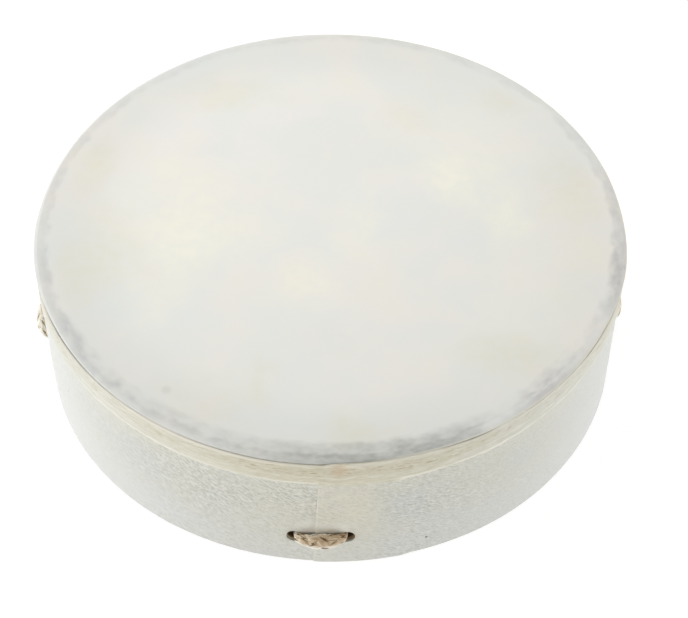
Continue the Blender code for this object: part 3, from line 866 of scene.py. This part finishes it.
def outer_wrap(mat):
    """One sheet from its free edge at the lap, once round, to its inner end
    under the lap.  u grows to the right from the free edge."""
    total = math.radians(360.0 + LAP_INNER - LAP_TOP) * SURF_R
    u = np.concatenate([[0.0, 0.35, 0.8], np.arange(1.4, total - 0.4, 1.42),
                        [total]])
    z = np.concatenate([[WRAP_Z0, WRAP_Z0 + 0.5],
                        np.linspace(WRAP_Z0 + 1.5, WRAP_Z1 - 1.2, 46),
                        [WRAP_Z1 - 0.45, WRAP_Z1]])
    holes = [h for h in WRAP_HOLES if 8.0 < h[0] < total - 8.0]
    skin = Skin(u, z, holes, HOLE_D / 2.0)
    lean = np.interp(skin.z, [WRAP_Z0, WRAP_Z1], [LAP_BOTTOM, LAP_TOP])
    frac = np.exp(-skin.u / 9.0)
    deg = LAP_TOP + np.degrees(skin.u / SURF_R) + (lean - LAP_TOP) * frac
    lift = (WRAP_T + 0.08) * (1.0 - smooth(RAMP_B, RAMP_A, deg))
    n = len(skin.u)
    # grain that stands off the surface, and a slight waviness
    turn = math.radians(24.0)
    su = skin.u * math.cos(turn) - skin.z * math.sin(turn)
    sv = skin.u * math.sin(turn) + skin.z * math.cos(turn)
    grain = fbm2(su / 6.5 + 0.5 * noise2(skin.u / 19.0, skin.z / 15.0, 3),
                 sv / 2.9, 11, 2)
    wave = fbm2(skin.u / 34.0, skin.z / 24.0, 23, 2)
    calm = smooth(0.0, 2.5, skin.u) * smooth(0, 1.2, WRAP_Z1 - skin.z + 0.3)
    bulge = (0.06 * grain + 0.07 * wave) * calm
    # the free edge is pressed down and thins out
    worn = 0.26 * np.exp(-skin.u / 0.5)
    r_out = SURF_R + lift + bulge - worn
    r_in = SURF_R + lift - WRAP_T
    verts = hoop_shape(np.concatenate([polar(r_out, deg, skin.z),
                                       polar(r_in, deg, skin.z)]))
    place = np.stack([skin.u, skin.z], -1) * MM
    place2 = np.concatenate([place, place])
    b, t, first, last = skin.ends()
    faces = [skin.quads, skin.quads[:, ::-1] + n]
    for rim in skin.rims:
        faces.append(strip_faces(rim, rim + n, close=True))
    faces.append(strip_faces(b, b + n, flip=True))
    faces.append(strip_faces(t, t + n))
    faces.append(strip_faces(first, first + n))
    faces.append(strip_faces(last, last + n, flip=True))
    f = np.concatenate(faces)
    obj = make_object("grained_wrap", verts, f, uv=place2[f])
    obj.data.materials.append(mat)
    return obj


def collar_band(mat):
    """The strip above the sheet.  Its torn lower edge thins out and lies just
    over the sheet's top; its ends meet at the front."""
    half = math.degrees(0.03 / BAND_R)
    deg = np.linspace(BAND_BUTT + half, BAND_BUTT + 360.0 - half, 1100)
    t = np.concatenate([[0.0, 0.025, 0.055, 0.085], np.linspace(0.12, 0.9, 16),
                        [0.94, 0.97, 1.0]])
    d, tt = np.meshgrid(deg, t, indexing="ij")
    arc = np.radians(d) * BAND_R
    low = WRAP_Z1 - 0.25 + 0.5 * fbm2(arc[:, :1] / 11.0, 0.0, 41, 3) \
        + 0.22 * noise2(arc[:, :1] / 2.2, 0.0, 43)
    low = np.minimum(low, WRAP_Z1 - 0.05)
    beside = np.sin(np.radians(d[:, :1]))
    high = BAND_Z1 - 0.35 + 1.9 * near_joint(d[:, :1]) \
        + 0.6 * smooth(0.55, 0.97, -beside) \
        - 0.15 * smooth(0.5, 0.9, beside) \
        + 0.22 * fbm2(arc[:, :1] / 26.0, 0.0, 47, 2)
    z = low + (high - low) * tt
    fibre = fbm2(arc / 13.0, z / 1.1, 53, 2)
    wave = fbm2(arc / 45.0, z / 14.0, 59, 2)
    # how far the sheet below stands out, here
    flat = (d + 180.0) % 360.0 - 180.0
    under = SURF_R + 0.14 + (WRAP_T + 0.08) * (
        smooth(LAP_TOP - 0.4, LAP_TOP, flat) * smooth(RAMP_A, RAMP_B, flat))
    top_r = BAND_R - 0.1 + 0.07 * fibre + 0.08 * wave
    rise = smooth(0.0, 0.14, tt)
    r_out = (under + 0.10) * (1 - rise) + np.maximum(top_r, under + 0.2) * rise
    r_out = r_out - 0.35 * smooth(0.955, 1.0, tt)
    body = np.full_like(z, CORE_R_OUT + GAP)
    behind = z < WRAP_Z1 + 0.12
    r_in = np.where(behind, under, body)
    nu, nz = d.shape
    n = nu * nz
    inner = polar(r_in, d, z).reshape(-1, 3)
    # the back of the strip stays on the hoop, its foot on the sheet
    inner = np.where(behind.reshape(-1, 1), hoop_shape(inner),
                     hoop_shape(inner, HOOP_SHARE))
    verts = np.concatenate([hoop_shape(polar(r_out, d, z).reshape(-1, 3)),
                            inner])
    idx = np.arange(n).reshape(nu, nz)
    faces = [grid_faces(idx), grid_faces(idx + n, flip=True),
             strip_faces(idx[:, 0], idx[:, 0] + n, flip=True),
             strip_faces(idx[:, -1], idx[:, -1] + n),
             strip_faces(idx[0], idx[0] + n),
             strip_faces(idx[-1], idx[-1] + n, flip=True)]
    obj = make_object("collar_strip", verts, np.concatenate(faces))
    obj.data.materials.append(mat)
    return obj


def head_glue(mat):
    """The adhesive line with its uneven squeeze-out inside the corner."""
    nu = 720
    deg = np.arange(nu) * 360.0 / nu
    a = np.radians(deg)
    w = (2.3 + np.cos(a) + 2.4 * np.cos(2 * a) + 0.55 * np.sin(7 * a + 1)
         + 0.4 * np.sin(13 * a + 2))
    w = np.maximum(w, 0.6)
    w = w * (1.0 + 0.22 * noise2(deg / 3.0, 0.0, 61, 120))
    w = np.maximum(w + 0.35 * noise2(deg / 1.5, 0.0, 67, 240), 0.5)
    bottom, top = CORE_TOP + GAP, HEIGHT - FILM_T - GAP
    edge = CORE_R_IN - GAP
    rows = [(np.full(nu, CORE_R_OUT - 0.1), np.full(nu, bottom)),
            (np.full(nu, CORE_R_OUT - 0.1), np.full(nu, top))]
    for k in range(13):
        t = k / 12.0
        share = (1 - t) ** 1.15
        depth = t ** 1.15
        rows.append((edge - share * w, top - depth * (1.0 + 0.55 * w)))
    rows.append((np.full(nu, edge), np.full(nu, bottom)))
    verts = hoop_shape(np.concatenate([polar(r, deg, z) for r, z in rows]),
                       HOOP_SHARE)
    idx = np.arange(len(rows) * nu).reshape(len(rows), nu)
    faces = [strip_faces(idx[i], idx[(i + 1) % len(rows)], close=True)
             for i in range(len(rows))]
    obj = make_object("glue_bead", verts, np.concatenate(faces))
    obj.data.materials.append(mat)
    return obj


def head_film(mat):
    nu = 720
    deg = np.arange(nu) * 360.0 / nu
    # the trimmed edge wanders a little; it is cut closer right of the joint
    # and stands out at the left and right
    turn = (deg + 180.0) % 360.0 - 180.0
    ahead = np.maximum(np.cos(np.radians(deg)), 0.0)
    trim = 0.14 * fbm2(deg / 12.0, 0.0, 71, 3, 30) - 0.30 * ahead \
        - 0.85 * near_joint(deg) \
        + 1.2 * np.exp(-((turn + 84.0) / 14.0) ** 2) \
        + 1.0 * np.exp(-((turn - 80.0) / 11.0) ** 2) \
        - 0.45 * np.minimum(np.cos(np.radians(deg)), 0.0)
    droop = 0.10 * fbm2(deg / 18.0, 0.0, 73, 2, 20)
    top = HEIGHT
    profile = [(60.0, 0.0, 0), (100.0, 0.0, 0), (125.0, 0.0, 0),
               (140.0, 0.0, 0), (147.0, 0.0, 0), (150.0, 0.0, 0),
               (153.0, 0.0, 0), (156.0, 0.0, 0), (158.0, 0.0, 0.1),
               (159.3, -0.01, .35), (160.1, -0.03, .6), (160.7, -0.10, .85),
               (161.15, -0.22, 1), (161.5, -0.36, 1), (161.68, -0.50, 1),
               (161.66, -0.62, 1), (161.45, -0.68, 1), (161.0, -0.62, .95),
               (160.3, -0.50, .7), (159.5, -0.43, .4), (158.6, -0.41, .1),
               (157.5, -0.4, 0), (153.0, -0.4, 0), (147.0, -0.4, 0),
               (125.0, -0.4, 0), (90.0, -0.4, 0), (50.0, -0.4, 0)]
    rows = []
    for r, dz, k in profile:
        ripple = 0.04 * k * noise2(deg / 4.0, r / 3.0, 79, 90)
        rows.append(polar(r + trim * k, deg, top + dz - droop * k + ripple))
    verts = np.concatenate(rows + [[[0, 0, top]], [[0, 0, top - FILM_T]]])
    m = len(profile)
    idx = np.arange(m * nu).reshape(m, nu)
    quads = np.concatenate([strip_faces(idx[i], idx[i + 1], close=True,
                                        flip=True) for i in range(m - 1)])
    c0, c1 = m * nu, m * nu + 1
    nxt = np.roll(np.arange(nu), -1)
    tri0 = np.stack([np.full(nu, c0), idx[0], idx[0][nxt]], -1)
    tri1 = np.stack([np.full(nu, c1), idx[-1][nxt], idx[-1]], -1)
    obj = make_object("milky_head", verts, [quads, tri0, tri1],
                      slots=[0, 0, 0])
    obj.data.materials.append(mat)
    return obj


# ---------------------------------------------------------------- the ropes
ROPE_SPOKE = 4.0
PAIR, REACH = 4.6, 24.0
Z_FB, Z_LR = 17.1, 25.9


def stitch_points(side, rise):
    """Points x, y, z, radius and flattening of one stitch: it swells from
    hole to hole and lies pressed on the wall."""
    centre = STITCHES[side]
    size, press = {"front": (1.0, 1.2), "back": (0.97, 1.1),
                   "left": (0.93, 1.05), "right": (0.92, 1.15)}[side]
    low = size * (1.0 - 0.22 * press) / 0.78
    step = HOLE_STEP if side == "front" else 0.0
    out = []
    for sign in (-1, 1):
        rows = []
        for t, up, dz, rad, flat in STITCH:
            up = up * low if up > 0.0 else up
            near = smooth(-6.0, 0.0, up)
            climb = step * min(max((sign * t / 9.5 + 1.0) / 2.0, 0.0), 1.0)
            rows.append((sign * t, SURF_R + up + rise * near, dz + climb,
                         rad * (1.0 + (size - 1.0) * near), flat * press))
        out.append(rows)
    whole = out[0][::-1] + out[1][1:]
    t, rho, dz, rad, flat = np.array(whole, float).T
    xyz = hoop_shape(polar(rho, centre + np.degrees(t / SURF_R), HOLE_Z + dz))
    return [(*p, a, b) for p, a, b in zip(xyz, rad, flat)]


def rope_route(start, end, a, mids, b):
    tail = (ROPE_SPOKE, 0.0)
    pts = [(*start, *tail), (*mids[0], *tail)]

    def spoke(p, q):
        p, q = np.array(p[:3]), np.array(q[:3])
        for k in range(1, 6):
            pts.append((*(p + (q - p) * k / 6.0), *tail))

    spoke(mids[0], a[0])
    pts.extend(a)
    spoke(a[-1], mids[1])
    mid = tuple((np.array(mids[1]) + np.array(mids[2])) / 2.0)
    pts.extend([(*mids[1], *tail), (*mid, *tail), (*mids[2], *tail)])
    spoke(mids[2], b[0])
    pts.extend(b)
    spoke(b[-1], mids[3])
    pts.extend([(*mids[3], *tail), (*end, *tail)])
    return np.array(pts)


def resample(pts, step):
    """Smooth curve through the points, cut into even steps."""
    p = np.asarray(pts, float)
    ext = np.vstack([2 * p[0] - p[1], p, 2 * p[-1] - p[-2]])
    dense = []
    for i in range(len(p) - 1):
        p0, p1, p2, p3 = ext[i:i + 4]
        d = [max(np.linalg.norm((q1 - q0)[:3]), 1e-6) ** 0.5
             for q0, q1 in ((p0, p1), (p1, p2), (p2, p3))]
        t0, t1 = 0.0, d[0]
        t2, t3 = t1 + d[1], t1 + d[1] + d[2]
        tt = np.linspace(t1, t2, 24, endpoint=False)[:, None]
        a1 = (t1 - tt) / (t1 - t0) * p0 + (tt - t0) / (t1 - t0) * p1
        a2 = (t2 - tt) / (t2 - t1) * p1 + (tt - t1) / (t2 - t1) * p2
        a3 = (t3 - tt) / (t3 - t2) * p2 + (tt - t2) / (t3 - t2) * p3
        b1 = (t2 - tt) / (t2 - t0) * a1 + (tt - t0) / (t2 - t0) * a2
        b2 = (t3 - tt) / (t3 - t1) * a2 + (tt - t1) / (t3 - t1) * a3
        dense.append((t2 - tt) / (t2 - t1) * b1 + (tt - t1) / (t2 - t1) * b2)
    dense = np.vstack(dense + [p[-1:]])
    s = np.concatenate([[0], np.cumsum(np.linalg.norm(
        np.diff(dense[:, :3], axis=0), axis=1))])
    n = int(round(s[-1] / step)) + 1
    at = np.linspace(0, s[-1], n)
    return at, np.stack([np.interp(at, s, dense[:, k])
                         for k in range(dense.shape[1])], -1)


def frames(path):
    """Tangent and two normals carried along a path without twisting."""
    t = np.gradient(path, axis=0)
    t /= np.linalg.norm(t, axis=1)[:, None]
    n = np.zeros_like(t)
    seed = np.array([0.0, 0.0, 1.0])
    n[0] = seed - t[0] * (seed @ t[0])
    n[0] /= np.linalg.norm(n[0])
    for i in range(1, len(t)):
        v = n[i - 1] - t[i] * (n[i - 1] @ t[i])
        n[i] = v / np.linalg.norm(v)
    return t, n, np.cross(t, n)


def strand_mesh(centre, out, along, half_w, half_t, sides, s, first):
    """A strand of oval section.  out points away from the rope's core."""
    t = np.gradient(centre, axis=0)
    t /= np.linalg.norm(t, axis=1)[:, None]
    out = out - t * (out * t).sum(1)[:, None]
    out /= np.linalg.norm(out, axis=1)[:, None]
    side = np.cross(t, out)
    a = np.arange(sides) * 2 * math.pi / sides
    ring = (centre[:, None]
            + side[:, None] * (np.cos(a)[None, :] * half_w[:, None])[..., None]
            + out[:, None] * (np.sin(a)[None, :] * half_t[:, None])[..., None])
    n = len(centre)
    idx = np.arange(n * sides).reshape(n, sides) + first
    nxt = np.roll(idx, -1, 1)
    quads = np.stack([idx[:-1], idx[1:], nxt[1:], nxt[:-1]],
                     -1).reshape(-1, 4)
    k = np.arange(sides)
    u0, u1 = k / sides, (k + 1) / sides
    v0, v1 = s[:-1, None] * MM, s[1:, None] * MM
    z0, z1 = np.broadcast_arrays(v0, u0[None])[0], np.broadcast_arrays(
        v1, u0[None])[0]
    u0b, u1b = np.broadcast_to(u0, z0.shape), np.broadcast_to(u1, z0.shape)
    uv = np.stack([np.stack([u0b, z0], -1), np.stack([u0b, z1], -1),
                   np.stack([u1b, z1], -1), np.stack([u1b, z0], -1)],
                  2).reshape(-1, 4, 2)
    # closed ends: a fan round a middle point
    verts = np.vstack([ring.reshape(-1, 3), centre[:1], centre[-1:]])
    c0, c1 = first + n * sides, first + n * sides + 1
    cap0 = np.stack([np.full(sides, c0), idx[0], nxt[0]], -1)
    cap1 = np.stack([np.full(sides, c1), nxt[-1], idx[-1]], -1)
    caps = np.concatenate([cap0, cap1])
    cap_uv = np.zeros((len(caps), 3, 2))
    return verts, quads, uv, caps, cap_uv


def braid(name, pts, mat, core_mat, pitch=38.0, step=0.8, seed=0):
    """Eight strands plaited round a core, four each way; a stitch pressed on
    the wall is flattened towards it."""
    s, p = resample(pts, step)
    path, rad, flat = p[:, :3], p[:, 3], np.clip(p[:, 4], 0.0, 1.7)
    t, n, b = frames(path)
    k = rad / 4.2
    w = 2.0 * math.pi / pitch
    radial = path * (1.0, 1.0, 0.0)
    radial /= np.maximum(np.linalg.norm(radial, axis=1), 1e-6)[:, None]

    def pressed(v, at, f):
        """Ring vertices v of one strand, sides per path point."""
        body = v[:-2].reshape(len(at), -1, 3)
        off = body - at[:, None]
        rad_part = (off * f[1][:, None]).sum(-1, keepdims=True)
        off = off - f[1][:, None] * rad_part * (0.22 * f[0])[:, None, None]
        off[..., 2] *= 1.0 + 0.20 * f[0][:, None]
        return np.vstack([(at[:, None] + off).reshape(-1, 3), v[-2:]])

    verts, quads, uvs, tris, tri_uv = [], [], [], [], []
    first = 0
    slack = 1.0 + 0.03 * noise2(s / 9.0, 0.0, seed + 5)
    for way in (1, -1):
        for i in range(4):
            wob = 0.10 * noise2(s / 13.0, i * 3.1 + way, seed + 11)
            th = way * w * s + i * math.pi / 2 + wob
            over = np.cos(4.0 * w * s) * way
            r = (2.90 + 0.42 * over) * k * slack
            out = n * np.cos(th)[:, None] + b * np.sin(th)[:, None]
            centre = path + out * r[:, None]
            plump = 1.0 + 0.08 * over + 0.06 * noise2(s / 6.0, i + 7.0 * way,
                                                      seed + 19)
            v, q, u, c, cu = strand_mesh(centre, out, t, 2.08 * k * plump,
                                         0.98 * k * plump, 10,
                                         s * 1.1 + 37.0 * i + 11.0 * way,
                                         first)
            verts.append(pressed(v, path, (flat, radial)))
            quads.append(q)
            uvs.append(u)
            tris.append(c)
            tri_uv.append(cu)
            first += len(v)
    sc = s[::3]
    v, q, u, c, cu = strand_mesh(path[::3], n[::3], t, 2.75 * k[::3],
                                 2.75 * k[::3], 10, sc, first)
    verts.append(pressed(v, path[::3], (flat[::3], radial[::3])))
    obj = make_object(
        name, np.vstack(verts),
        [np.concatenate(quads), np.concatenate(tris), q, c],
        uv=[np.concatenate(uvs), np.concatenate(tri_uv), u, cu],
        slots=[0, 0, 1, 1], smooth_deg=75.0)
    obj.data.materials.append(mat)
    obj.data.materials.append(core_mat)
    return obj


def rope_front_back(mat, core):
    lift = WRAP_T + GAP
    at = lambda x, y: (x, y, Z_FB)
    pts = rope_route(at(-PAIR, 14.7), at(-PAIR, 15.3),
                     stitch_points("front", lift),
                     [at(-PAIR, -REACH), at(PAIR, -REACH), at(PAIR, REACH),
                      at(-PAIR, REACH)], stitch_points("back", lift))
    return braid("rope_braid_front_back", pts, mat, core, seed=100)


def rope_left_right(mat, core):
    at = lambda x, y: (x, y, Z_LR)
    pts = rope_route(at(4.3, PAIR), at(4.9, PAIR),
                     stitch_points("left", 0.0),
                     [at(-REACH, PAIR), at(-REACH, -PAIR), at(REACH, -PAIR),
                      at(REACH, PAIR)], stitch_points("right", 0.0))
    return braid("rope_braid_left_right", pts, mat, core, seed=200)


def grip_lashing(mat):
    """Three twisted strands along the square lashing's route."""
    lash_r, first_s, pitch_s = 1.75, 11.3, 3.7
    ring = ROPE_SPOKE + lash_r + 0.45
    q = ring * math.sqrt(0.5)
    mid = (Z_LR + Z_FB) / 2.0
    across = [(-PAIR - ring, 0.0), (-PAIR - q, q), (-PAIR, ring),
              (PAIR, ring), (PAIR + q, q), (PAIR + ring, 0.0)]
    knots = []
    for turn in range(3):
        s = first_s + pitch_s * turn
        c = first_s + 0.77 * pitch_s * turn
        for quarter in range(4):
            last = quarter == 3 and turn < 2
            for i, (u, v) in enumerate(across):
                o = s + (pitch_s * 0.12 * i if last else 0.0)
                knots.append([(o, u, Z_LR + v), (-u, o, Z_FB - v),
                              (-o, -u, Z_LR + v), (u, -o, Z_FB - v)][quarter])
            e = c + (pitch_s * 0.6 if last else 0.0)
            sx = 1.0 if quarter in (0, 3) else -1.0
            sy = 1.0 if quarter in (0, 1) else -1.0
            knots.append((sx * e, sy * e, mid))
    s, path = resample(np.array(knots), 0.55)
    t, n, b = frames(path)
    verts, quads, uvs, tris, tri_uv, first = [], [], [], [], [], 0
    for i in range(3):
        th = 2 * math.pi * s / 9.0 + i * 2 * math.pi / 3
        out = n * np.cos(th)[:, None] + b * np.sin(th)[:, None]
        size = 0.86 * (1.0 + 0.05 * noise2(s / 5.0, i * 2.0, 301))
        v, f, u, c, cu = strand_mesh(path + out * 0.88, out, t, size * 1.08,
                                     size * 0.96, 8, s + 50.0 * i, first)
        verts.append(v); quads.append(f); uvs.append(u)
        tris.append(c); tri_uv.append(cu)
        first += len(v)
    obj = make_object("lashing_cord", np.vstack(verts),
                      [np.concatenate(quads), np.concatenate(tris)],
                      uv=[np.concatenate(uvs), np.concatenate(tri_uv)],
                      slots=[0, 0], smooth_deg=75.0)
    obj.data.materials.append(mat)
    return obj


CREAM, PINK = srgb(243, 240, 222), srgb(238, 231, 226)


OCHRE, COOL = srgb(222, 216, 187), srgb(222, 225, 220)


FILM_STAINS = [
    (-9, 71, 62, 44, 0.36, COOL), (-66, 66, 18, 16, 0.28, COOL),
    (0, -76, 34, 20, 0.32, COOL), (128, -44, 30, 34, 0.36, COOL),
    (-76, -90, 34, 26, 0.12, COOL), (38, 62, 20, 30, 0.26, COOL),
    (-90, 70, 26, 34, 0.40, PINK), (-44, 72, 24, 38, 0.36, PINK),
    (-22, 96, 26, 18, 0.34, PINK), (40, 30, 34, 26, 0.24, PINK),
    (-82, 12, 46, 52, 0.46, CREAM), (-78, -12, 32, 30, 0.44, CREAM),
    (-94, -48, 24, 30, 0.33, CREAM), (70, 42, 26, 28, 0.60, CREAM),
    (97, 12, 19, 28, 0.62, CREAM), (-14, -35, 27, 24, 0.44, CREAM),
    (16, 2, 19, 36, 0.36, CREAM), (-40, 4, 26, 20, 0.24, CREAM),
    (70, 60, 50, 50, 0.25, CREAM),
    (-144, -33, 24, 36, 0.24, OCHRE), (137, 32, 26, 44, 0.32, OCHRE),
    (99, -90, 40, 26, 0.36, OCHRE), (16, -138, 26, 18, 0.40, OCHRE),
    (-35, -112, 9, 26, 0.22, OCHRE), (99, 108, 30, 24, 0.24, OCHRE),
    (-57, 113, 38, 18, 0.26, OCHRE), (-136, 56, 16, 34, 0.30, OCHRE),
    (47, 99, 26, 22, 0.18, OCHRE), (112, -46, 46, 50, 0.16, CREAM),
    (-118, -28, 26, 30, 0.22, OCHRE), (-60, -120, 40, 24, 0.20, OCHRE),
    (-128, -5, 24, 40, 0.25, OCHRE),
]


FLOOR_GLOW, FLOOR_GREY = 0.85, 0.26


TURN_LENGTH = math.radians(360.0) * SURF_R


def near_joint(deg):
    """1 just right of the front joint, falling to 0 by about 30 degrees."""
    d = (np.asarray(deg) + 180.0) % 360.0 - 180.0
    return smooth(-1.9, 0.4, d) * smooth(31.0, 14.0, d)


WORLD_BASE, WORLD_LEFT, WORLD_RIGHT = 0.0, 3.6, 2.67


WORLD_FRONT, WORLD_TOP = 0.31, 0.0


KEY_POWER = 2.46


def hoop_shape(verts, share=1.0):
    """The hoop has gone a little out of round: it stands out at the left and
    the right, least at its foot, which flares between them and the front."""
    v = np.array(verts, float)
    r = np.maximum(np.hypot(v[:, 0], v[:, 1]), 1.0)
    deg = np.degrees(np.arctan2(v[:, 0], -v[:, 1]))
    out = 2.5 * np.exp(-((deg + 78.0) / 30.0) ** 2) \
        + 2.1 * np.exp(-((deg - 80.0) / 23.0) ** 2)
    out *= 1.0 - 0.62 * np.clip(1.0 - v[:, 2] / 72.0, 0.0, 1.0) ** 1.6
    out += 0.75 * np.sin(np.radians(2.0 * deg)) ** 2 * (np.abs(deg) < 90.0) \
        * np.clip(1.0 - v[:, 2] / 34.0, 0.0, 1.0) ** 2
    out *= share * smooth(120.0, 150.0, r)
    v[:, :2] *= (1.0 + out / r)[:, None]
    return v


STITCH = [(0.0, 4.2, 2.35, 4.45, 1.0), (4.4, 4.05, 2.45, 4.0, 1.0),
          (7.4, 3.6, 2.45, 3.40, 0.95), (9.3, 2.9, 2.15, 2.90, 0.75),
          (10.8, 1.8, 1.7, 2.50, 0.4), (11.8, 0.1, 1.1, 2.25, 0.15),
          (12.2, -2.3, 0.7, 2.20, 0.0), (12.2, -5.2, 0.3, 2.30, 0.0),
          (12.3, -8.6, 0.0, 2.75, 0.0), (12.5, -13.0, 0.0, 3.40, 0.0)]


FILM_SMUDGE = (-85.0, -113.0, 0.0)


# where the glue lies thickest: middle and half width in degrees, how much,
# and how many mm further in it reaches
RING_ZONES = [(7.0, 30.0, 0.38, 0.0), (21.0, 10.0, 0.04, 0.0),
              (11.0, 11.0, 0.02, 0.1), (-15.0, 11.0, 0.06, 0.0),
              (-30.0, 22.0, 0.09, 0.6), (47.0, 13.0, 0.11, 3.2),
              (-56.0, 17.0, 0.10, 1.8), (-80.0, 15.0, 0.03, 0.0),
              (61.0, 8.0, -0.03, 0.7), (77.0, 12.0, 0.10, 1.6),
              (88.0, 22.0, 0.08, 0.0)]


HOOP_SHARE = 0.5                   # of the bulge, taken by the board itself


# --------------------------------------------------------- stage and camera
def stage():
    n = 96
    rings = [0.02, 0.1, 0.16, 0.2, 0.3, 0.6, 1.5, 4.0, 12.0]
    verts = [(0.0, 0.0, 0.0)]
    faces = []
    for r in rings:
        for k in range(n):
            a = 2 * math.pi * k / n
            verts.append((r * math.cos(a), r * math.sin(a), 0.0))
    for k in range(n):
        faces.append((0, 1 + k, 1 + (k + 1) % n))
    for i in range(len(rings) - 1):
        for k in range(n):
            a, b = 1 + i * n + k, 1 + i * n + (k + 1) % n
            faces.append((a, a + n, b + n, b))
    mesh = bpy.data.meshes.new("floor")
    mesh.from_pydata(verts, [], faces)
    mesh.materials.append(floor_material())
    floor = bpy.data.objects.new("floor", mesh)
    floor.location.z = -0.0002
    bpy.context.scene.collection.objects.link(floor)


def light(name, place, aim, size, power, color=(1, 1, 1), size_y=None):
    data = bpy.data.lights.new(name, "AREA")
    data.shape = "RECTANGLE"
    data.size, data.size_y = size, size_y or size
    data.energy = power
    data.color = color
    obj = bpy.data.objects.new(name, data)
    obj.location = place
    obj.rotation_mode = "QUATERNION"
    obj.rotation_quaternion = (Vector(aim) - Vector(place)).to_track_quat(
        "-Z", "Y")
    bpy.context.scene.collection.objects.link(obj)


def world():
    w = bpy.data.worlds.new("studio")
    bpy.context.scene.world = w
    w.use_nodes = True
    tree = w.node_tree
    bg = tree.nodes["Background"]
    tc = tree.nodes.new("ShaderNodeTexCoord")
    sep = tree.nodes.new("ShaderNodeSeparateXYZ")
    tree.links.new(tc.outputs["Generated"], sep.inputs[0])

    def m(op, a, b, clamp=False):
        n = tree.nodes.new("ShaderNodeMath")
        n.operation, n.use_clamp = op, clamp
        for sock, v in zip(n.inputs, (a, b)):
            if isinstance(v, bpy.types.NodeSocket):
                tree.links.new(v, sock)
            else:
                sock.default_value = v
        return n.outputs[0]

    def lobe(axis, sign, power, strength):
        face = m("MULTIPLY", sep.outputs[axis], sign, True)
        return m("MULTIPLY", m("POWER", face, power), strength)

    total = m("ADD", lobe(0, -1.0, 3.0, WORLD_LEFT),
              lobe(0, 1.0, 3.0, WORLD_RIGHT))
    total = m("ADD", total, lobe(1, -1.0, 2.0, WORLD_FRONT))
    total = m("ADD", total, m("ADD", lobe(2, 1.0, 2.0, WORLD_TOP),
                              WORLD_BASE))
    tree.links.new(total, bg.inputs["Strength"])
    bg.inputs["Color"].default_value = (1.0, 1.0, 1.0, 1.0)


def camera():
    r_unit = 0.159
    elev, dist = math.radians(47.92), 7.96 * r_unit
    pan, tilt = 0.0059, -0.0110
    back = Vector((0.0, -math.cos(elev), math.sin(elev)))
    place = back * dist + Vector((0.0, 0.0, 0.044))
    fwd, right = -back, Vector((1.0, 0.0, 0.0))
    up = right.cross(fwd)
    f1 = fwd * math.cos(pan) + right * math.sin(pan)
    r1 = right * math.cos(pan) - fwd * math.sin(pan)
    f2 = f1 * math.cos(tilt) + up * math.sin(tilt)
    u2 = up * math.cos(tilt) - f1 * math.sin(tilt)
    data = bpy.data.cameras.new("photo_camera")
    data.sensor_fit = "HORIZONTAL"
    data.sensor_width = 36.0
    data.lens = 2241.0 / 688.0 * 36.0
    data.clip_start, data.clip_end = 0.05, 50.0
    cam = bpy.data.objects.new("photo_camera", data)
    cam.matrix_world = Matrix((
        (r1.x, u2.x, -f2.x, place.x), (r1.y, u2.y, -f2.y, place.y),
        (r1.z, u2.z, -f2.z, place.z), (0, 0, 0, 1)))
    bpy.context.scene.collection.objects.link(cam)
    bpy.context.scene.camera = cam


# ------------------------------------------------------------------ assembly
def main():
    scene = bpy.context.scene
    scene.view_settings.view_transform = "Standard"
    scene.view_settings.look = "None"
    scene.view_settings.exposure = 0.0
    scene.view_settings.gamma = 1.0
    camera()
    world()
    light("overhead", (-0.10, 0.18, 0.72), (-0.02, 0.05, 0.088), 0.5,
          KEY_POWER)
    stage()

    rope_mat = fibre_material("natural_braid", srgb(164, 136, 98),
                              srgb(219, 199, 168), srgb(250, 243, 229),
                              60.0, 2.2, soil=srgb(104, 74, 42),
                              worn=(srgb(162, 128, 86), srgb(252, 247, 234)))
    # the left and right stitches get a paler copy of the braid; part of that
    # paleness is painted light from the side lamps
    pale_mat = fibre_material("paler_braid", srgb(226, 216, 194),
                              srgb(245, 239, 223), srgb(255, 253, 246),
                              60.0, 2.2, soil=srgb(186, 172, 140))
    core_mat = fibre_material("braid_core", srgb(112, 92, 62),
                              srgb(138, 116, 82), srgb(160, 138, 102),
                              40.0, 1.6)
    cord_mat = fibre_material("twisted_cord", srgb(140, 116, 80),
                              srgb(176, 150, 110), srgb(206, 182, 142),
                              90.0, 1.8)
    made = [
        (shell_core(board_material()), "shell_core", "fibre_board"),
        (outer_wrap(wrap_material()), "outer_wrap", "grained_sheet"),
        (collar_band(strip_material()), "collar_band", "fibre_strip"),
        (head_glue(glue_material()), "head_glue", "set_glue"),
        (head_film(film_material()), "head_film", "head_film"),
        (rope_front_back(rope_mat, core_mat), "rope_front_back",
         "braided_rope"),
        (rope_left_right(pale_mat, core_mat), "rope_left_right",
         "braided_rope"),
        (grip_lashing(cord_mat), "grip_lashing", "lashing_cord"),
    ]
    for piece, node, slot in made:
        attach(piece, "root")
        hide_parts(node)

    bpy.context.view_layer.update()


main()
